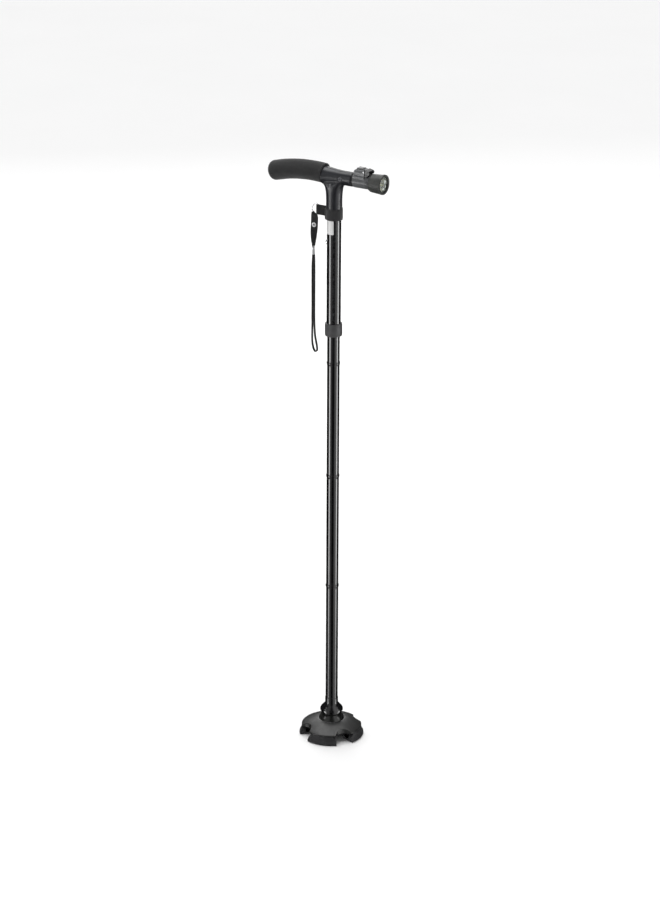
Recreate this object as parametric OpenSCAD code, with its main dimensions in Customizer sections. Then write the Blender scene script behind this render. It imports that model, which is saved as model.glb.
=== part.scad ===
// Folding walking cane with a T handle, a torch in the nose of the handle and a
// four-footed base on a ball pivot. Millimetres, +Z up along the shaft, +X towards
// the torch, origin on the floor under the middle of the base.

/* [Shaft] */
// Height of the lowest fold joint above the floor
joint_1_z = 262; // [210:1:320]
// Distance from one fold joint to the next
section_len = 187; // [150:1:230]
// Inner tube that shows between the top fold joint and the lock collar
inner_show = 42.5; // [30:0.5:80]
// Height of the lock collar's underside to the snap button at rest
button_rise = 148.5; // [120:0.5:170]
// Distance from the snap button to the underside of the handle's socket
socket_rise = 38; // [32:0.5:60]
// Outside diameter of the upper tube
upper_d = 22; // [18:0.1:27]
// Wall of every shaft tube
tube_wall = 1.2; // [1:0.1:1.5]
// How far the rolled bead at each fold joint stands out
bead_proud = 0.75; // [0.5:0.05:1.2]
// Length of spigot that reaches down into the section below
spigot_reach = 34; // [20:1:60]
// Diameter of the elastic shock cord
shock_cord_d = 3.9; // [3:0.1:5]

/* [Height setting] */
// Distance between the setting holes
hole_pitch = 12.7; // [10:0.1:15]
// Setting holes below the one in use
holes_below = 4; // [2:1:6]
// Setting holes above the one in use
holes_above = 2; // [1:1:2]
// Diameter of the snap button
button_d = 7; // [6:0.1:7.5]
// How far the snap button stands out of the upper tube
button_proud = 3.2; // [2:0.1:4]
// Thickness of the lock collar outside the upper tube
collar_wall = 2.5; // [2:0.1:6]
// Height of the lock collar
collar_h = 20; // [16:0.5:28]

/* [Handle] */
// Height of the handle's axis above the underside of its socket
axis_rise = 67.5; // [56:0.5:82]
// Wall of the handle's socket
socket_wall = 1.4; // [1.2:0.1:4]
// Outside diameter of the handle's nose
nose_d = 22; // [20:0.1:27]
// Length of the handle's nose from the shaft's axis
nose_len = 34.5; // [28:0.5:45]
// Outside diameter of the foam grip
grip_d = 31; // [25:0.5:38]
// Wall of the foam grip
foam_wall = 4; // [3:0.5:6]
// Distance from the shaft's axis to the front edge of the foam
grip_front = 17; // [15:0.5:20]
// Distance from the shaft's axis to the rear end of the foam
grip_rear = 113; // [100:1:130]
// Radius of the arch that the grip follows
grip_arch = 234; // [180:1:400]

/* [Torch] */
// Outside diameter of the torch's ribbed head at its rim
head_d = 31; // [25.5:0.5:38]
// Length of the head
head_len = 21; // [20:0.5:26]
// Length of the plain barrel in front of the nose
barrel_len = 25; // [20.5:0.5:32]
// Number of LEDs in the ring around the middle one
led_ring = 6; // [4:1:7]

/* [Base] */
// Radius of the base plate
plate_r = 48; // [40:0.5:60]
// How far the feet flare out beyond the plate
foot_flare = 3.6; // [2:0.1:8]
// Height of a foot
foot_h = 14; // [10:0.5:20]
// Width of a foot, as an angle about the shaft
foot_angle = 58; // [45:1:66]
// Angle of the first foot from the +X axis
foot_turn = 12; // [0:1:30]
// Radius of the ball on the base
ball_r = 21.6; // [18:0.1:26]

/* [Wrist strap] */
// Width of the hook-and-loop band around the socket
band_w = 17.5; // [14:0.5:22]
// Width of the webbing under the ring
web_w = 9; // [7:0.5:12]
// Width of the wrist loop's strap
loop_w = 5; // [4:0.5:7]

/* [Hidden] */

$fn = 96;
eps = 0.5;            // overshoot of a cutting tool
slip = 0.1;           // radial running clearance
seat = 0.05;          // radial clearance of a fixed fit

// shaft
upper_r = upper_d / 2;
upper_bore = upper_r - tube_wall;
lower_r = upper_bore - slip;       // folding tubes and the inner tube
lower_bore = lower_r - tube_wall;
bead_r = lower_r + bead_proud;
collar_r = upper_r + collar_wall;
spigot_r = lower_bore - seat;
spigot_bore = spigot_r - tube_wall;
spigot_hold = 26;     // spigot held inside its own section
joint_z = [joint_1_z, joint_1_z + section_len, joint_1_z + 2 * section_len];
collar_z = joint_z[2] + inner_show;
button_z = collar_z + button_rise;
socket_z = button_z + socket_rise;
axis_z = socket_z + axis_rise;
bead_h = 3.4;

// base
plate_z = foot_h;                  // underside of the plate
rim_top = plate_z + 3.2;
ball_z = plate_z + 6.4;            // centre of the ball and of both tilts
ball_wall = 3;
liner_t = 0.8;
washer_r = ball_r - ball_wall - 5.2;  // round face that the rubber buffer presses on
bell_bore = ball_r + liner_t + 2 * slip;
bell_r = ball_r - 3.4;
bell_low = ball_z + 18.2;
bell_ring_r = bell_r - 1.6;          // step under the bell's lip
bell_top = ball_z + 33;
dome_rise = 7.2;                    // plate's dome above the ball's centre
dome_in_r = sqrt(ball_r * ball_r - dome_rise * dome_rise) - 0.1;
socket_cap_top = bell_top + 11;
socket_cap_r = lower_r + 0.65;
tube_1_z = ball_z + bell_bore + 5;
bolt_r = 3;
ball_hole_r = 8.8;                 // room for the bolt at a full tilt both ways
foot_in_r = ball_r + 3.4;
foot_out_r = plate_r + foot_flare; // at the floor
foot_screw_r = (foot_in_r + plate_r) / 2 - 0.5;

// upper end of the inner tube and of the cord
inner_top = button_z + 13;
cord_low_z = tube_1_z + 14;
top_plug_z = button_z - 38;
cord_top_z = top_plug_z + 22;
upper_tube_z = collar_z + 11.5;
upper_tube_top = axis_z - 27.5;
bush_z = collar_z + 4.5;

// handle
socket_r = upper_r + socket_wall;
nose_r = nose_d / 2;
core_r = grip_d / 2 - foam_wall;
arch_x = -38;                      // highest point of the grip
arch_z = axis_z + 3.3 - grip_arch;
grip_cap = 9;                      // length of the rounded rear end
arch_start = acos((-grip_front - arch_x) / grip_arch);
arch_end = acos((-grip_rear + grip_cap - arch_x) / grip_arch);
pin_z = socket_z + 7;

// torch, along X from the nose
seam = 2.6;                        // gap that the seal fills
barrel_x = nose_len + seam;
flare_x = barrel_x + barrel_len;
head_x = flare_x + 5;
head_front = head_x + head_len;
head_r = head_d / 2;
torch_spigot_r = nose_r - 2.5;     // plugs into the handle's nose
neck_r = head_r - 3.5;             // threaded neck inside the head
board_x = head_x + 5.6;
cell_r = 5.25;                     // AAA cell
cell_len = 44.5;
cell_x = board_x - 2 - cell_len;
cell_room = 4.2;                   // for the spring behind the cell
barrel_bore = cell_r + 0.75;
end_wall = 1.5;
torch_end = cell_x - cell_room - end_wall;
led_ring_r = neck_r - 4;
led_r = 0.3125 * led_ring_r;       // as large as the ring has room for
led_x = board_x + 1.4;
lens_r = head_r - 2.4;
lens_t = 1.4;
lens_x = head_front - 2 - lens_t;
block_z = axis_z + nose_r - 1.8;   // ledge of the switch housing
block_top = axis_z + nose_r + 7.5;
block_from = barrel_x + 0.8;
block_to = flare_x - 4.8;
lever_x = block_to - 2.2;          // lever's pivot
lever_z = block_top - 2.9;
lever_w = 8.2;
screw_x = [torch_end - 5, -45, -85];

// wrist strap: ring and hand-chosen points of the hanging straps
band_r = socket_r + slip;
band_t = 1;
tab_x = -30;                       // bar of the ring
tab_h = band_w - 1.5;
ring_z = socket_z + band_w / 2 + 1.85;
ring_r = tab_h / 2 + 1.4;
wire_r = 0.85;
// [x, height from the socket's underside, share of the width, share of the thickness, twist]
web_rings = [
  [-35, 0.1, 0.5, 0.5, 0],
  [-35, -8, 0.5, 0.5, 0],
  [-35.5, -16, 0.5, 0.5, 0],
  [-36, -24, 0.47, 0.5, 15],
  [-36.4, -32, 0.42, 0.5, 40],
  [-36.6, -40, 0.34, 0.55, 65],
  [-36.6, -48, 0.25, 0.7, 90]
];
sleeve_top = socket_z - 48;
sleeve_len = 14.4;
sleeve_x = -36.6;
// [x, height from the socket's underside] down one side and up the other
loop_points = [
  [-37.5, -62.4], [-38, -70], [-38.5, -80], [-38.6, -95], [-38.6, -110],
  [-38.5, -125], [-38.5, -140], [-38.5, -155], [-38.5, -170], [-38.6, -182],
  [-38.8, -192], [-38.6, -202], [-37.6, -210], [-35.6, -216], [-33, -219],
  [-30.6, -218.6], [-29.6, -215.6], [-30, -210], [-31.5, -203], [-33.2, -195],
  [-34.3, -184], [-34.8, -172], [-35, -157], [-35, -142], [-35, -127],
  [-35, -112], [-35, -97], [-35, -82], [-35.3, -71], [-35.7, -62.4]
];
web_t = 2.4;
loop_t = 1.2;

// ---- helpers ----

// one closed skin over a list of rings that all have the same number of points
function flat(rings) = [for (ring = rings) for (p = ring) p];
function skin_faces(n, sides) = concat(
  [[for (k = [0:sides - 1]) k]],
  [for (i = [0:n - 2]) for (k = [0:sides - 1]) for (half = [0, 1])
    let (a = i * sides + k, b = i * sides + (k + 1) % sides)
    half == 0 ? [a, a + sides, b + sides] : [a, b + sides, b]],
  [[for (k = [sides - 1:-1:0]) (n - 1) * sides + k]]
);
module skin(rings) {
  polyhedron(flat(rings), skin_faces(len(rings), len(rings[0])), convexity = 6);
}

// direction of a planar path at point i
function heading(path, i) =
  let (a = path[max(i - 1, 0)], b = path[min(i + 1, len(path) - 1)])
  (b - a) / norm(b - a);

// flat strap in the XZ plane with its width along Y
function strap_ring(path, i, w, t, sides = 8) =
  let (d = heading(path, i))
  [for (k = [0:sides - 1])
    let (a = 360 * (k + 0.5) / sides)
    [path[i][0] - d[1] * cos(a) * t / 2, w / 2 * sin(a), path[i][1] + d[0] * cos(a) * t / 2]];

// ring of a round wire that winds around the X axis
function coil_ring(a, x, r, wire, sides = 8) =
  [for (k = [0:sides - 1])
    let (b = 360 * k / sides, q = r + wire * cos(b))
    [x + wire * sin(b), q * cos(a), q * sin(a)]];

module pipe(r, bore, z0, z1) {
  translate([0, 0, z0]) difference() {
    cylinder(r = r, h = z1 - z0);
    translate([0, 0, -eps]) cylinder(r = bore, h = z1 - z0 + 2 * eps);
  }
}

// turned shape about the torch's axis: points are [x, radius]
module turned(points) {
  translate([0, 0, axis_z]) rotate([0, 90, 0]) rotate_extrude()
    polygon([for (p = points) [p[1], p[0]]]);
}
module torch_disc(x0, x1, r, bore = 0) {
  turned([[x0, bore], [x0, r], [x1, r], [x1, bore]]);
}
module along_x(x0, x1, r) {
  translate([x0, 0, axis_z]) rotate([0, 90, 0]) cylinder(r = r, h = x1 - x0);
}
module along_y(x, y0, y1, z, r) {
  translate([x, y0, z]) rotate([-90, 0, 0]) cylinder(r = r, h = y1 - y0);
}

// outline in the XZ plane, given thickness along Y
module slab(w) {
  translate([0, w / 2, 0]) rotate([90, 0, 0]) linear_extrude(w) children();
}

// ---- base ----

module plate_bites() {
  bite_r = 15.4;
  for (k = [0:3]) rotate(foot_turn + 45 + 90 * k)
    translate([plate_r - 10.2 + bite_r, 0, plate_z - eps]) cylinder(r = bite_r, h = 30);
}

function plate_top(r) =
  let (s = (r - dome_in_r) / (plate_r - 1.2 - dome_in_r))
  rim_top + (ball_z + dome_rise - rim_top) * (1 - pow(max(0, s), 1.5));

module base_plate() {
  steps = 10;
  run = plate_r - 1.2 - dome_in_r;
  color("#26272a") difference() {
    union() {
      rotate_extrude() polygon(concat(
        [[ball_r - ball_wall, plate_z], [plate_r - 0.8, plate_z], [plate_r, plate_z + 0.8],
         [plate_r, rim_top - 1]],
        [for (i = [steps:-1:0]) let (r = dome_in_r + run * i / steps) [r, plate_top(r)]],
        [[ball_r - ball_wall, ball_z + dome_rise]]));
      intersection() {
        translate([0, 0, ball_z]) sphere(r = ball_r);
        translate([0, 0, plate_z + 2]) cylinder(r = ball_r + 1, h = 40);
      }
    }
    translate([0, 0, ball_z]) sphere(r = ball_r - ball_wall);
    translate([0, 0, plate_z - eps]) cylinder(r = ball_r - ball_wall, h = ball_z - plate_z + eps);
    translate([0, 0, ball_z]) cylinder(r = ball_hole_r, h = 40);
    plate_bites();
    foot_places() translate([foot_screw_r, 0, plate_z - eps]) cylinder(r = 1.5, h = 3.5 + eps, $fn = 24);
  }
}

module foot_places() {
  for (k = [0:3]) rotate(foot_turn + 90 * k) children();
}

module foot_wedge(half, z) {
  reach = 2 * plate_r;
  translate([0, 0, z]) linear_extrude(0.01)
    polygon([[0, 0], [reach, -reach * tan(half)], [reach, reach * tan(half)]]);
}

module foot(k) {
  half = foot_angle / 2;
  top_half = half - 6.5;
  side_wall = 6;
  recess_z = 3.4;
  color("#1c1c1e") rotate(foot_turn + 90 * k) difference() {
    intersection() {
      rotate(-half - 1) rotate_extrude(angle = foot_angle + 2) polygon([
        [foot_in_r, plate_z], [foot_in_r, 1.5], [foot_in_r + 1.5, 0], [foot_out_r - 1.4, 0],
        [foot_out_r, 1.4], [foot_out_r - 0.3, 3.6], [plate_r + 0.55 * foot_flare, 5.4],
        [plate_r + 0.25 * foot_flare, 8], [plate_r, plate_z - 2], [plate_r - 0.4, plate_z]]);
      // sides that spread towards the floor
      hull() {
        foot_wedge(half, -1);
        foot_wedge(half, 0);
        foot_wedge(top_half, plate_z);
      }
    }
    // recess in each side wall
    for (side = [-1, 1]) rotate(side * (half - 4)) rotate(-6) rotate_extrude(angle = 12)
      translate([foot_in_r + side_wall, recess_z])
        square([plate_r - foot_in_r - 2 * side_wall, foot_h - recess_z - 3]);
    translate([foot_screw_r, 0, -eps]) cylinder(r = 2, h = foot_h + 2 * eps, $fn = 32);
    translate([foot_screw_r, 0, -eps]) cylinder(r = 4, h = 5 + eps, $fn = 32);
    // tread grooves
    for (r = [foot_in_r + 5, foot_in_r + 17.5, foot_in_r + 22]) rotate(-half - 2)
      rotate_extrude(angle = foot_angle + 4) translate([r, -eps]) square([1.2, 1 + eps]);
  }
}
module foot_1() { foot(0); }
module foot_2() { foot(1); }
module foot_3() { foot(2); }
module foot_4() { foot(3); }

module foot_screws() {
  color("#8a8c90") foot_places() translate([foot_screw_r, 0, 0]) difference() {
    union() {
      translate([0, 0, 3]) cylinder(r = 3.4, h = 2, $fn = 32);
      translate([0, 0, 4]) cylinder(r = 1.45, h = plate_z - 1, $fn = 32);
    }
    translate([0, 0, 2.5]) cylinder(r = 1.5, h = 1.6, $fn = 6);
  }
}

// spherical ring about the tilt centre, between two radii and two cones
module ball_ring(r_in, r_out, hole, reach) {
  translate([0, 0, ball_z]) difference() {
    intersection() {
      sphere(r = r_out);
      translate([0, 0, sqrt(r_out * r_out - reach * reach)]) cylinder(r = reach, h = r_out);
    }
    sphere(r = r_in);
    cylinder(r = hole, h = r_out + eps);
  }
}
module pivot_liner() {
  color("#e9e9e4") ball_ring(ball_r + slip, ball_r + slip + liner_t, ball_hole_r + 0.6, 13);
}
module pivot_buffer() {
  color("#303033") ball_ring(washer_r, ball_r - ball_wall - slip, bolt_r + 0.3, 0.63 * ball_r);
}
module pivot_washer() {
  color("#9a9ca0") translate([0, 0, ball_z]) difference() {
    sphere(r = washer_r - slip);
    translate([0, 0, 8 - 40]) cylinder(r = 30, h = 40);
    cylinder(r = bolt_r + seat, h = 20);
  }
}
module pivot_bolt() {
  color("#85878b") difference() {
    union() {
      translate([0, 0, ball_z + 4]) cylinder(r = 6.2, h = 4);
      translate([0, 0, ball_z + 5]) cylinder(r = bolt_r, h = tube_1_z + 10 - ball_z - 5);
    }
    translate([0, 0, ball_z + 3.5]) cylinder(r = 2.9, h = 3, $fn = 6);
  }
}

module pivot_bell() {
  color("#1b1b1e") difference() {
    rotate_extrude() polygon([
      [0, bell_low], [bell_ring_r - 0.5, bell_low], [bell_ring_r, bell_low + 0.5],
      [bell_ring_r, bell_low + 2.4], [bell_r - 0.6, bell_low + 2.6], [bell_r, bell_low + 3.3],
      [bell_r, bell_low + 5.6], [bell_r - 0.8, bell_low + 7.6],
      [bell_r - 2.2, bell_top - 5.8], [bell_r - 4.4, bell_top - 3],
      [socket_cap_r + 1, bell_top - 0.8], [socket_cap_r + 0.2, bell_top + 0.8],
      [socket_cap_r, bell_top + 2.4], [socket_cap_r, socket_cap_top - 0.6],
      [socket_cap_r - 0.5, socket_cap_top], [0, socket_cap_top]]);
    translate([0, 0, ball_z]) sphere(r = bell_bore);
    cylinder(r = bolt_r + seat, h = tube_1_z + eps);
    translate([0, 0, tube_1_z]) cylinder(r = lower_r + seat, h = 60);
  }
}

module bottom_plug() {
  color("#d8d8d2") difference() {
    translate([0, 0, tube_1_z]) cylinder(r = lower_bore - seat, h = 30);
    translate([0, 0, tube_1_z - eps]) cylinder(r = bolt_r + seat, h = 11 + eps);
    translate([0, 0, cord_low_z]) cylinder(r = 3.6 + seat, h = 40);
  }
}

// ---- shaft ----

// folding tube with a rolled bead just under its top end
module folding_tube(z0, z1) {
  color("#0d0d10") rotate_extrude() polygon([
    [lower_bore, z0], [lower_r, z0], [lower_r, z1 - bead_h - 2.2],
    [bead_r - 0.25, z1 - bead_h - 1.2], [bead_r, z1 - bead_h],
    [bead_r, z1 - 1.6], [bead_r - 0.3, z1 - 0.6], [lower_r, z1], [lower_bore, z1]]);
}
module tube_1() { folding_tube(tube_1_z, joint_z[0]); }
module tube_2() { folding_tube(joint_z[0], joint_z[1]); }
module tube_3() { folding_tube(joint_z[1], joint_z[2]); }

module inner_tube() {
  color("#0d0d10") difference() {
    pipe(lower_r, lower_bore, joint_z[2], inner_top);
    button_hole(button_z);
  }
}
module button_hole(z) {
  translate([-upper_r - eps, 0, z]) rotate([0, 90, 0])
    cylinder(r = button_d / 2 + 0.2, h = upper_r, $fn = 48);
}

module spigot(k) {
  color("#77797d") pipe(spigot_r, spigot_bore, joint_z[k] - spigot_reach, joint_z[k] + spigot_hold);
}
module spigot_1() { spigot(0); }
module spigot_2() { spigot(1); }
module spigot_3() { spigot(2); }

module shock_cord() {
  color("#151515") translate([0, 0, cord_low_z])
    cylinder(r = shock_cord_d / 2, h = cord_top_z - cord_low_z, $fn = 32);
}
module cord_ferrule_low() {
  color("#9a9ca0") pipe(3.6, shock_cord_d / 2 + seat, cord_low_z, cord_low_z + 7);
}
module cord_ferrule_top() {
  color("#9a9ca0") pipe(3.6, shock_cord_d / 2 + seat, top_plug_z + 14, cord_top_z);
}
module top_plug() {
  color("#d8d8d2") pipe(lower_bore - seat, shock_cord_d / 2 + 0.5, top_plug_z, top_plug_z + 14);
}

module snap_button() {
  tip = upper_r + button_proud;
  flange = sqrt(lower_bore * lower_bore - 5.2 * 5.2) - 0.2;
  color("#b9bbbf") translate([0, 0, button_z]) rotate([0, -90, 0]) rotate_extrude($fn = 48)
    polygon([
      [0, flange - 1.2], [5.2, flange - 1.2], [5.2, flange], [button_d / 2, flange],
      [button_d / 2, tip - 1.6], [button_d / 2 - 0.5, tip - 0.8], [button_d / 2 - 1.5, tip - 0.2],
      [0, tip]]);
}

module button_spring() {
  leaf = 0.6;
  back = -sqrt(lower_bore * lower_bore - 5.2 * 5.2) + 1.5;   // behind the button's flange
  front = sqrt(lower_bore * lower_bore - 2.5 * 2.5) - 0.2;
  mid = (back + front) / 2;
  r = (front - back) / 2;
  color("#a7a9ad") slab(5) difference() {
    union() {
      translate([back, button_z - 7]) square([leaf, 11]);
      translate([front - leaf, button_z - 11]) square([leaf, 15]);
      translate([mid, button_z + 4]) circle(r = r);
    }
    translate([mid, button_z + 4]) circle(r = r - leaf);
    translate([back + leaf, button_z - 12]) square([2 * r - 2 * leaf, 16]);
  }
}

module upper_tube() {
  color("#0d0d10") difference() {
    pipe(upper_r, upper_bore, upper_tube_z, upper_tube_top);
    for (k = [-holes_below:holes_above]) button_hole(button_z + k * hole_pitch);
    along_y(0, -upper_r - eps, upper_r + eps, pin_z, 2 + seat);
  }
}

module split_bush() {
  color("#d8d8d2") difference() {
    pipe(upper_r, lower_r + seat, bush_z, upper_tube_z);
    translate([0, -0.75, bush_z - eps]) cube([20, 1.5, 10]);
  }
}

module lock_collar() {
  edge = 0.8;
  color("#4a4a4d") rotate_extrude() polygon([
    [lower_r + 0.3, collar_z], [collar_r - edge, collar_z], [collar_r, collar_z + edge],
    [collar_r, collar_z + collar_h - edge], [collar_r - edge, collar_z + collar_h],
    [upper_r + slip, collar_z + collar_h], [upper_r + slip, bush_z - slip],
    [lower_r + 0.3, bush_z - slip]]);
}

module size_label() {
  color("white") rotate(212) rotate_extrude(angle = 86)
    translate([upper_r + 0.02, socket_z - 22.4]) square([0.18, 21.8]);
}

// ---- handle ----

// slice of the handle's neck: height from the axis, reach to the rear, reach to the front,
// and how much thinner it is than the socket
module neck_slice(q) {
  for (x = [-q[1], q[2]])
    translate([x, 0, axis_z + q[0]]) cylinder(r = socket_r - q[3], h = 0.1, $fn = 48);
}
neck = [[-34, 0, 0, 0], [-24, 0.6, 0.6, 0], [-16, 2.6, 2.2, 0.1], [-10.5, 8, 6.4, 0.8], [-5, 8, 12, 2]];

module handle_solid() {
  bar_steps = 9;
  bar_from = -grip_front;
  bar_to = torch_end - 0.5;
  flange = 3.1;
  // bar that tapers from the foam to the nose, on a socket blended into it,
  // both cut off at the foam's front face
  difference() {
    union() {
      turned(concat(
        [[bar_from - 3, 0], [bar_from - 3, nose_r + flange]],
        [for (i = [0:bar_steps])
          let (x = bar_from + (bar_to - bar_from) * i / bar_steps)
          [x, nose_r + flange * pow(1 - i / bar_steps, 1.8)]],
        [[nose_len - 0.5, nose_r], [nose_len, nose_r - 0.5], [nose_len, 0]]));
      translate([0, 0, socket_z]) cylinder(r = socket_r, h = axis_rise - 8);
      for (i = [0:3]) hull() {
        neck_slice(neck[i]);
        neck_slice(neck[i + 1]);
      }
    }
    translate([arch_x, 0, arch_z]) rotate([90, 0, 0]) rotate(arch_start)
      translate([0, -seat, -50]) cube([2 * grip_arch, 100, 100]);
  }
  // core inside the foam
  translate([arch_x, 0, arch_z]) rotate([90, 0, 0]) rotate(arch_start - 0.6)
    rotate_extrude(angle = arch_end - arch_start + 0.6) translate([grip_arch, 0]) circle(r = core_r);
}

// height of the handle's centre line above the arch's centre, at the rear screws
function core_z(x) = x > -grip_front ? axis_z : arch_z + sqrt(pow(grip_arch, 2) - pow(x - arch_x, 2));
function screw_seat(x) = x > -grip_front ? nose_r - 2.6 : core_r - 2.6;

module handle_bores() {
  translate([0, 0, socket_z - eps]) cylinder(r = upper_r + seat, h = upper_tube_top - socket_z + eps);
  along_x(torch_end - 0.5, nose_len + eps, torch_spigot_r + slip);
  along_y(0, -20, 20, pin_z, 2 + seat);
  for (x = screw_x) {
    along_y(x, -12, 8, core_z(x), 1.5);
    along_y(x, -20, -screw_seat(x), core_z(x), 3.5);
  }
}

module handle_half(side) {
  color("#16171c") difference() {
    handle_solid();
    translate([-200, side > 0 ? -100 : 0, 0]) cube([400, 100, axis_z + 100]);
    handle_bores();
  }
}
module handle_shell_left() { handle_half(1); }
module handle_shell_right() { handle_half(-1); }

module handle_screws() {
  color("#3a3b3e") for (x = screw_x) difference() {
    union() {
      along_y(x, -screw_seat(x) - 1.8, -screw_seat(x), core_z(x), 3.2);
      along_y(x, -screw_seat(x) - 0.5, 7.5, core_z(x), 1.45);
    }
    translate([x, -screw_seat(x) - 1.4, core_z(x)]) cube([4.4, 1.2, 0.9], center = true);
    translate([x, -screw_seat(x) - 1.4, core_z(x)]) cube([0.9, 1.2, 4.4], center = true);
  }
}

module handle_pin() {
  color("#9a9ca0") along_y(0, -socket_r + 0.1, socket_r - 0.1, pin_z, 2);
}

module grip_along(r, from, to) {
  translate([arch_x, 0, arch_z]) rotate([90, 0, 0]) rotate(from)
    rotate_extrude(angle = to - from) translate([grip_arch, 0]) circle(r = r);
}
module foam_grip() {
  r = grip_d / 2;
  round_r = 8;
  color("#3b3b3c") difference() {
    union() {
      grip_along(r, arch_start, arch_end);
      // rounded rear end
      translate([arch_x, 0, arch_z]) rotate([90, 0, 0]) rotate(arch_end) translate([grip_arch, 0, 0])
        rotate([-90, 0, 0]) rotate_extrude() polygon(concat(
          [[0, -1], [r - 1, -1], [r - 1, 0], [r, 0]],
          [for (a = [0:15:90])
            [r - round_r + round_r * cos(a), grip_cap - round_r + round_r * sin(a)]],
          [[0, grip_cap]]));
    }
    grip_along(core_r + slip + seat, arch_start - 1, arch_end);
    translate([arch_x, 0, arch_z]) rotate([90, 0, 0]) rotate(arch_end) translate([grip_arch, 0, 0])
      rotate([-90, 0, 0]) cylinder(r = core_r + slip + seat, h = 0.3);
  }
}

// ---- wrist strap ----

module strap_band() {
  color("#2b2b2d") pipe(band_r + band_t, band_r, socket_z, socket_z + band_w);
}
module strap_tab() {
  color("#2b2b2d") difference() {
    union() {
      translate([tab_x, -1.4, ring_z - tab_h / 2]) cube([-tab_x, 2.8, tab_h]);
      translate([tab_x, 0, ring_z - tab_h / 2]) cylinder(r = 2.4, h = tab_h, $fn = 48);
    }
    cylinder(r = band_r + band_t + 0.02, h = axis_z);
    translate([tab_x, 0, 0]) cylinder(r = wire_r + slip, h = axis_z, $fn = 48);
  }
}
module d_ring() {
  color("#d5d6d8") translate([tab_x, 0, ring_z]) {
    translate([0, 0, -ring_r]) cylinder(r = wire_r, h = 2 * ring_r, $fn = 32);
    rotate([90, 0, 0]) rotate(90) rotate_extrude(angle = 180)
      translate([ring_r, 0]) circle(r = wire_r, $fn = 32);
    for (s = [-1, 1]) translate([0, 0, s * ring_r]) sphere(r = wire_r, $fn = 32);
  }
}

module lanyard_web() {
  sides = 12;
  color("#2f2f31") skin([for (q = web_rings) [for (k = [0:sides - 1])
    let (a = 360 * (k + 0.5) / sides,
         u = web_w * q[2] * cos(a),
         v = web_t * q[3] * sin(a))
    [q[0] + u * cos(q[4]) - v * sin(q[4]), u * sin(q[4]) + v * cos(q[4]), socket_z + q[1]]]]);
}
module grommet() {
  thick = 0.7;
  face = web_t / 2 + 0.05 + thick / 2;
  color("#e4e4e6") for (side = [-1, 1])
    translate([-35.4, side * face, socket_z - 14.5]) rotate([90, 0, 0]) difference() {
      cylinder(r = 3.8, h = thick, center = true, $fn = 48);
      cylinder(r = 1.6, h = 2 * thick, center = true, $fn = 48);
    }
}
module crimp_sleeve() {
  color("#d9dadc") translate([sleeve_x, 0, sleeve_top - sleeve_len])
    cylinder(r = 2.5, h = sleeve_len, $fn = 32);
}
module wrist_loop() {
  path = [for (p = loop_points) [p[0], socket_z + p[1]]];
  color("#2f2f31") skin([for (i = [0:len(path) - 1]) strap_ring(path, i, loop_w, loop_t)]);
}

// ---- torch ----

module torch_barrel() {
  cavity = min(neck_r - 2.4, nose_r - 1.4);
  color("#55575b") turned([
    [torch_end, 0], [torch_end, torch_spigot_r - 0.5],
    [torch_end + 0.5, torch_spigot_r], [barrel_x, torch_spigot_r],
    [barrel_x, nose_r - 0.4], [barrel_x + 0.4, nose_r], [flare_x, nose_r],
    [flare_x + 2, nose_r + 0.7], [head_x - 1, head_r - 2.4], [head_x - 0.4, head_r - 2.4],
    [head_x - 0.4, neck_r], [head_x + 5, neck_r], [head_x + 5, cavity],
    [flare_x - 2, cavity], [flare_x - 2, barrel_bore],
    [torch_end + end_wall, barrel_bore], [torch_end + end_wall, 0]]);
}
module nose_seal() {
  color("#0a0a0a") torch_disc(nose_len + 0.15, barrel_x - 0.15, nose_r - 0.9, torch_spigot_r + seat);
}
module battery_cell() {
  color("#6b6d72") turned([
    [cell_x, 0], [cell_x, cell_r], [cell_x + cell_len - 1.2, cell_r],
    [cell_x + cell_len - 1.2, 1.9], [cell_x + cell_len, 1.9], [cell_x + cell_len, 0]]);
}
module cell_spring() {
  wire = 0.4;
  turns = 3;
  per_turn = 14;
  from = torch_end + end_wall + wire;
  rise = (cell_x - wire - from) / (turns * per_turn);
  color("#c9b27a") translate([0, 0, axis_z]) skin([for (i = [0:turns * per_turn])
    coil_ring(360 * i / per_turn, from + rise * i, 4.4 - 1.2 * i / (turns * per_turn), wire)]);
}
module led_places(r) {
  children();
  for (k = [0:led_ring - 1]) translate([0, 0, axis_z]) rotate([360 * k / led_ring, 0, 0])
    translate([0, 0, r - axis_z]) children();
}
module led_board() {
  color("#e9ece6") turned([
    [board_x - 1.9, 0], [board_x - 1.9, 2], [board_x, 2], [board_x, neck_r - 0.6],
    [board_x + 1.4, neck_r - 0.6], [board_x + 1.4, 0]]);
}
module leds() {
  color("#f4f6e8") led_places(led_ring_r) turned([
    [led_x, 0], [led_x, led_r + 0.3], [led_x + 1, led_r + 0.3], [led_x + 1, led_r],
    [led_x + 6, led_r], [led_x + 7.6, led_r * 0.72], [led_x + 8.4, 0]]);
}
module reflector() {
  plate_x = led_x + 3;
  color("#dfe3dc") difference() {
    turned([
      [plate_x, 0], [plate_x, lens_r - 0.1], [lens_x - 0.9, lens_r - 0.1],
      [lens_x - 0.9, lens_r - 0.7], [plate_x + 1.2, lens_r - 1.8], [plate_x + 1.2, 0]]);
    led_places(led_ring_r) along_x(plate_x - eps, plate_x + 1.2 + eps, led_r + 0.15);
  }
}
module lens() {
  color([0.9, 0.95, 0.95, 0.4]) torch_disc(lens_x, lens_x + lens_t, lens_r);
}
module lens_gasket() {
  color("#151515") torch_disc(lens_x - 0.8, lens_x - 0.05, lens_r, lens_r - 0.9);
}
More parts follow.
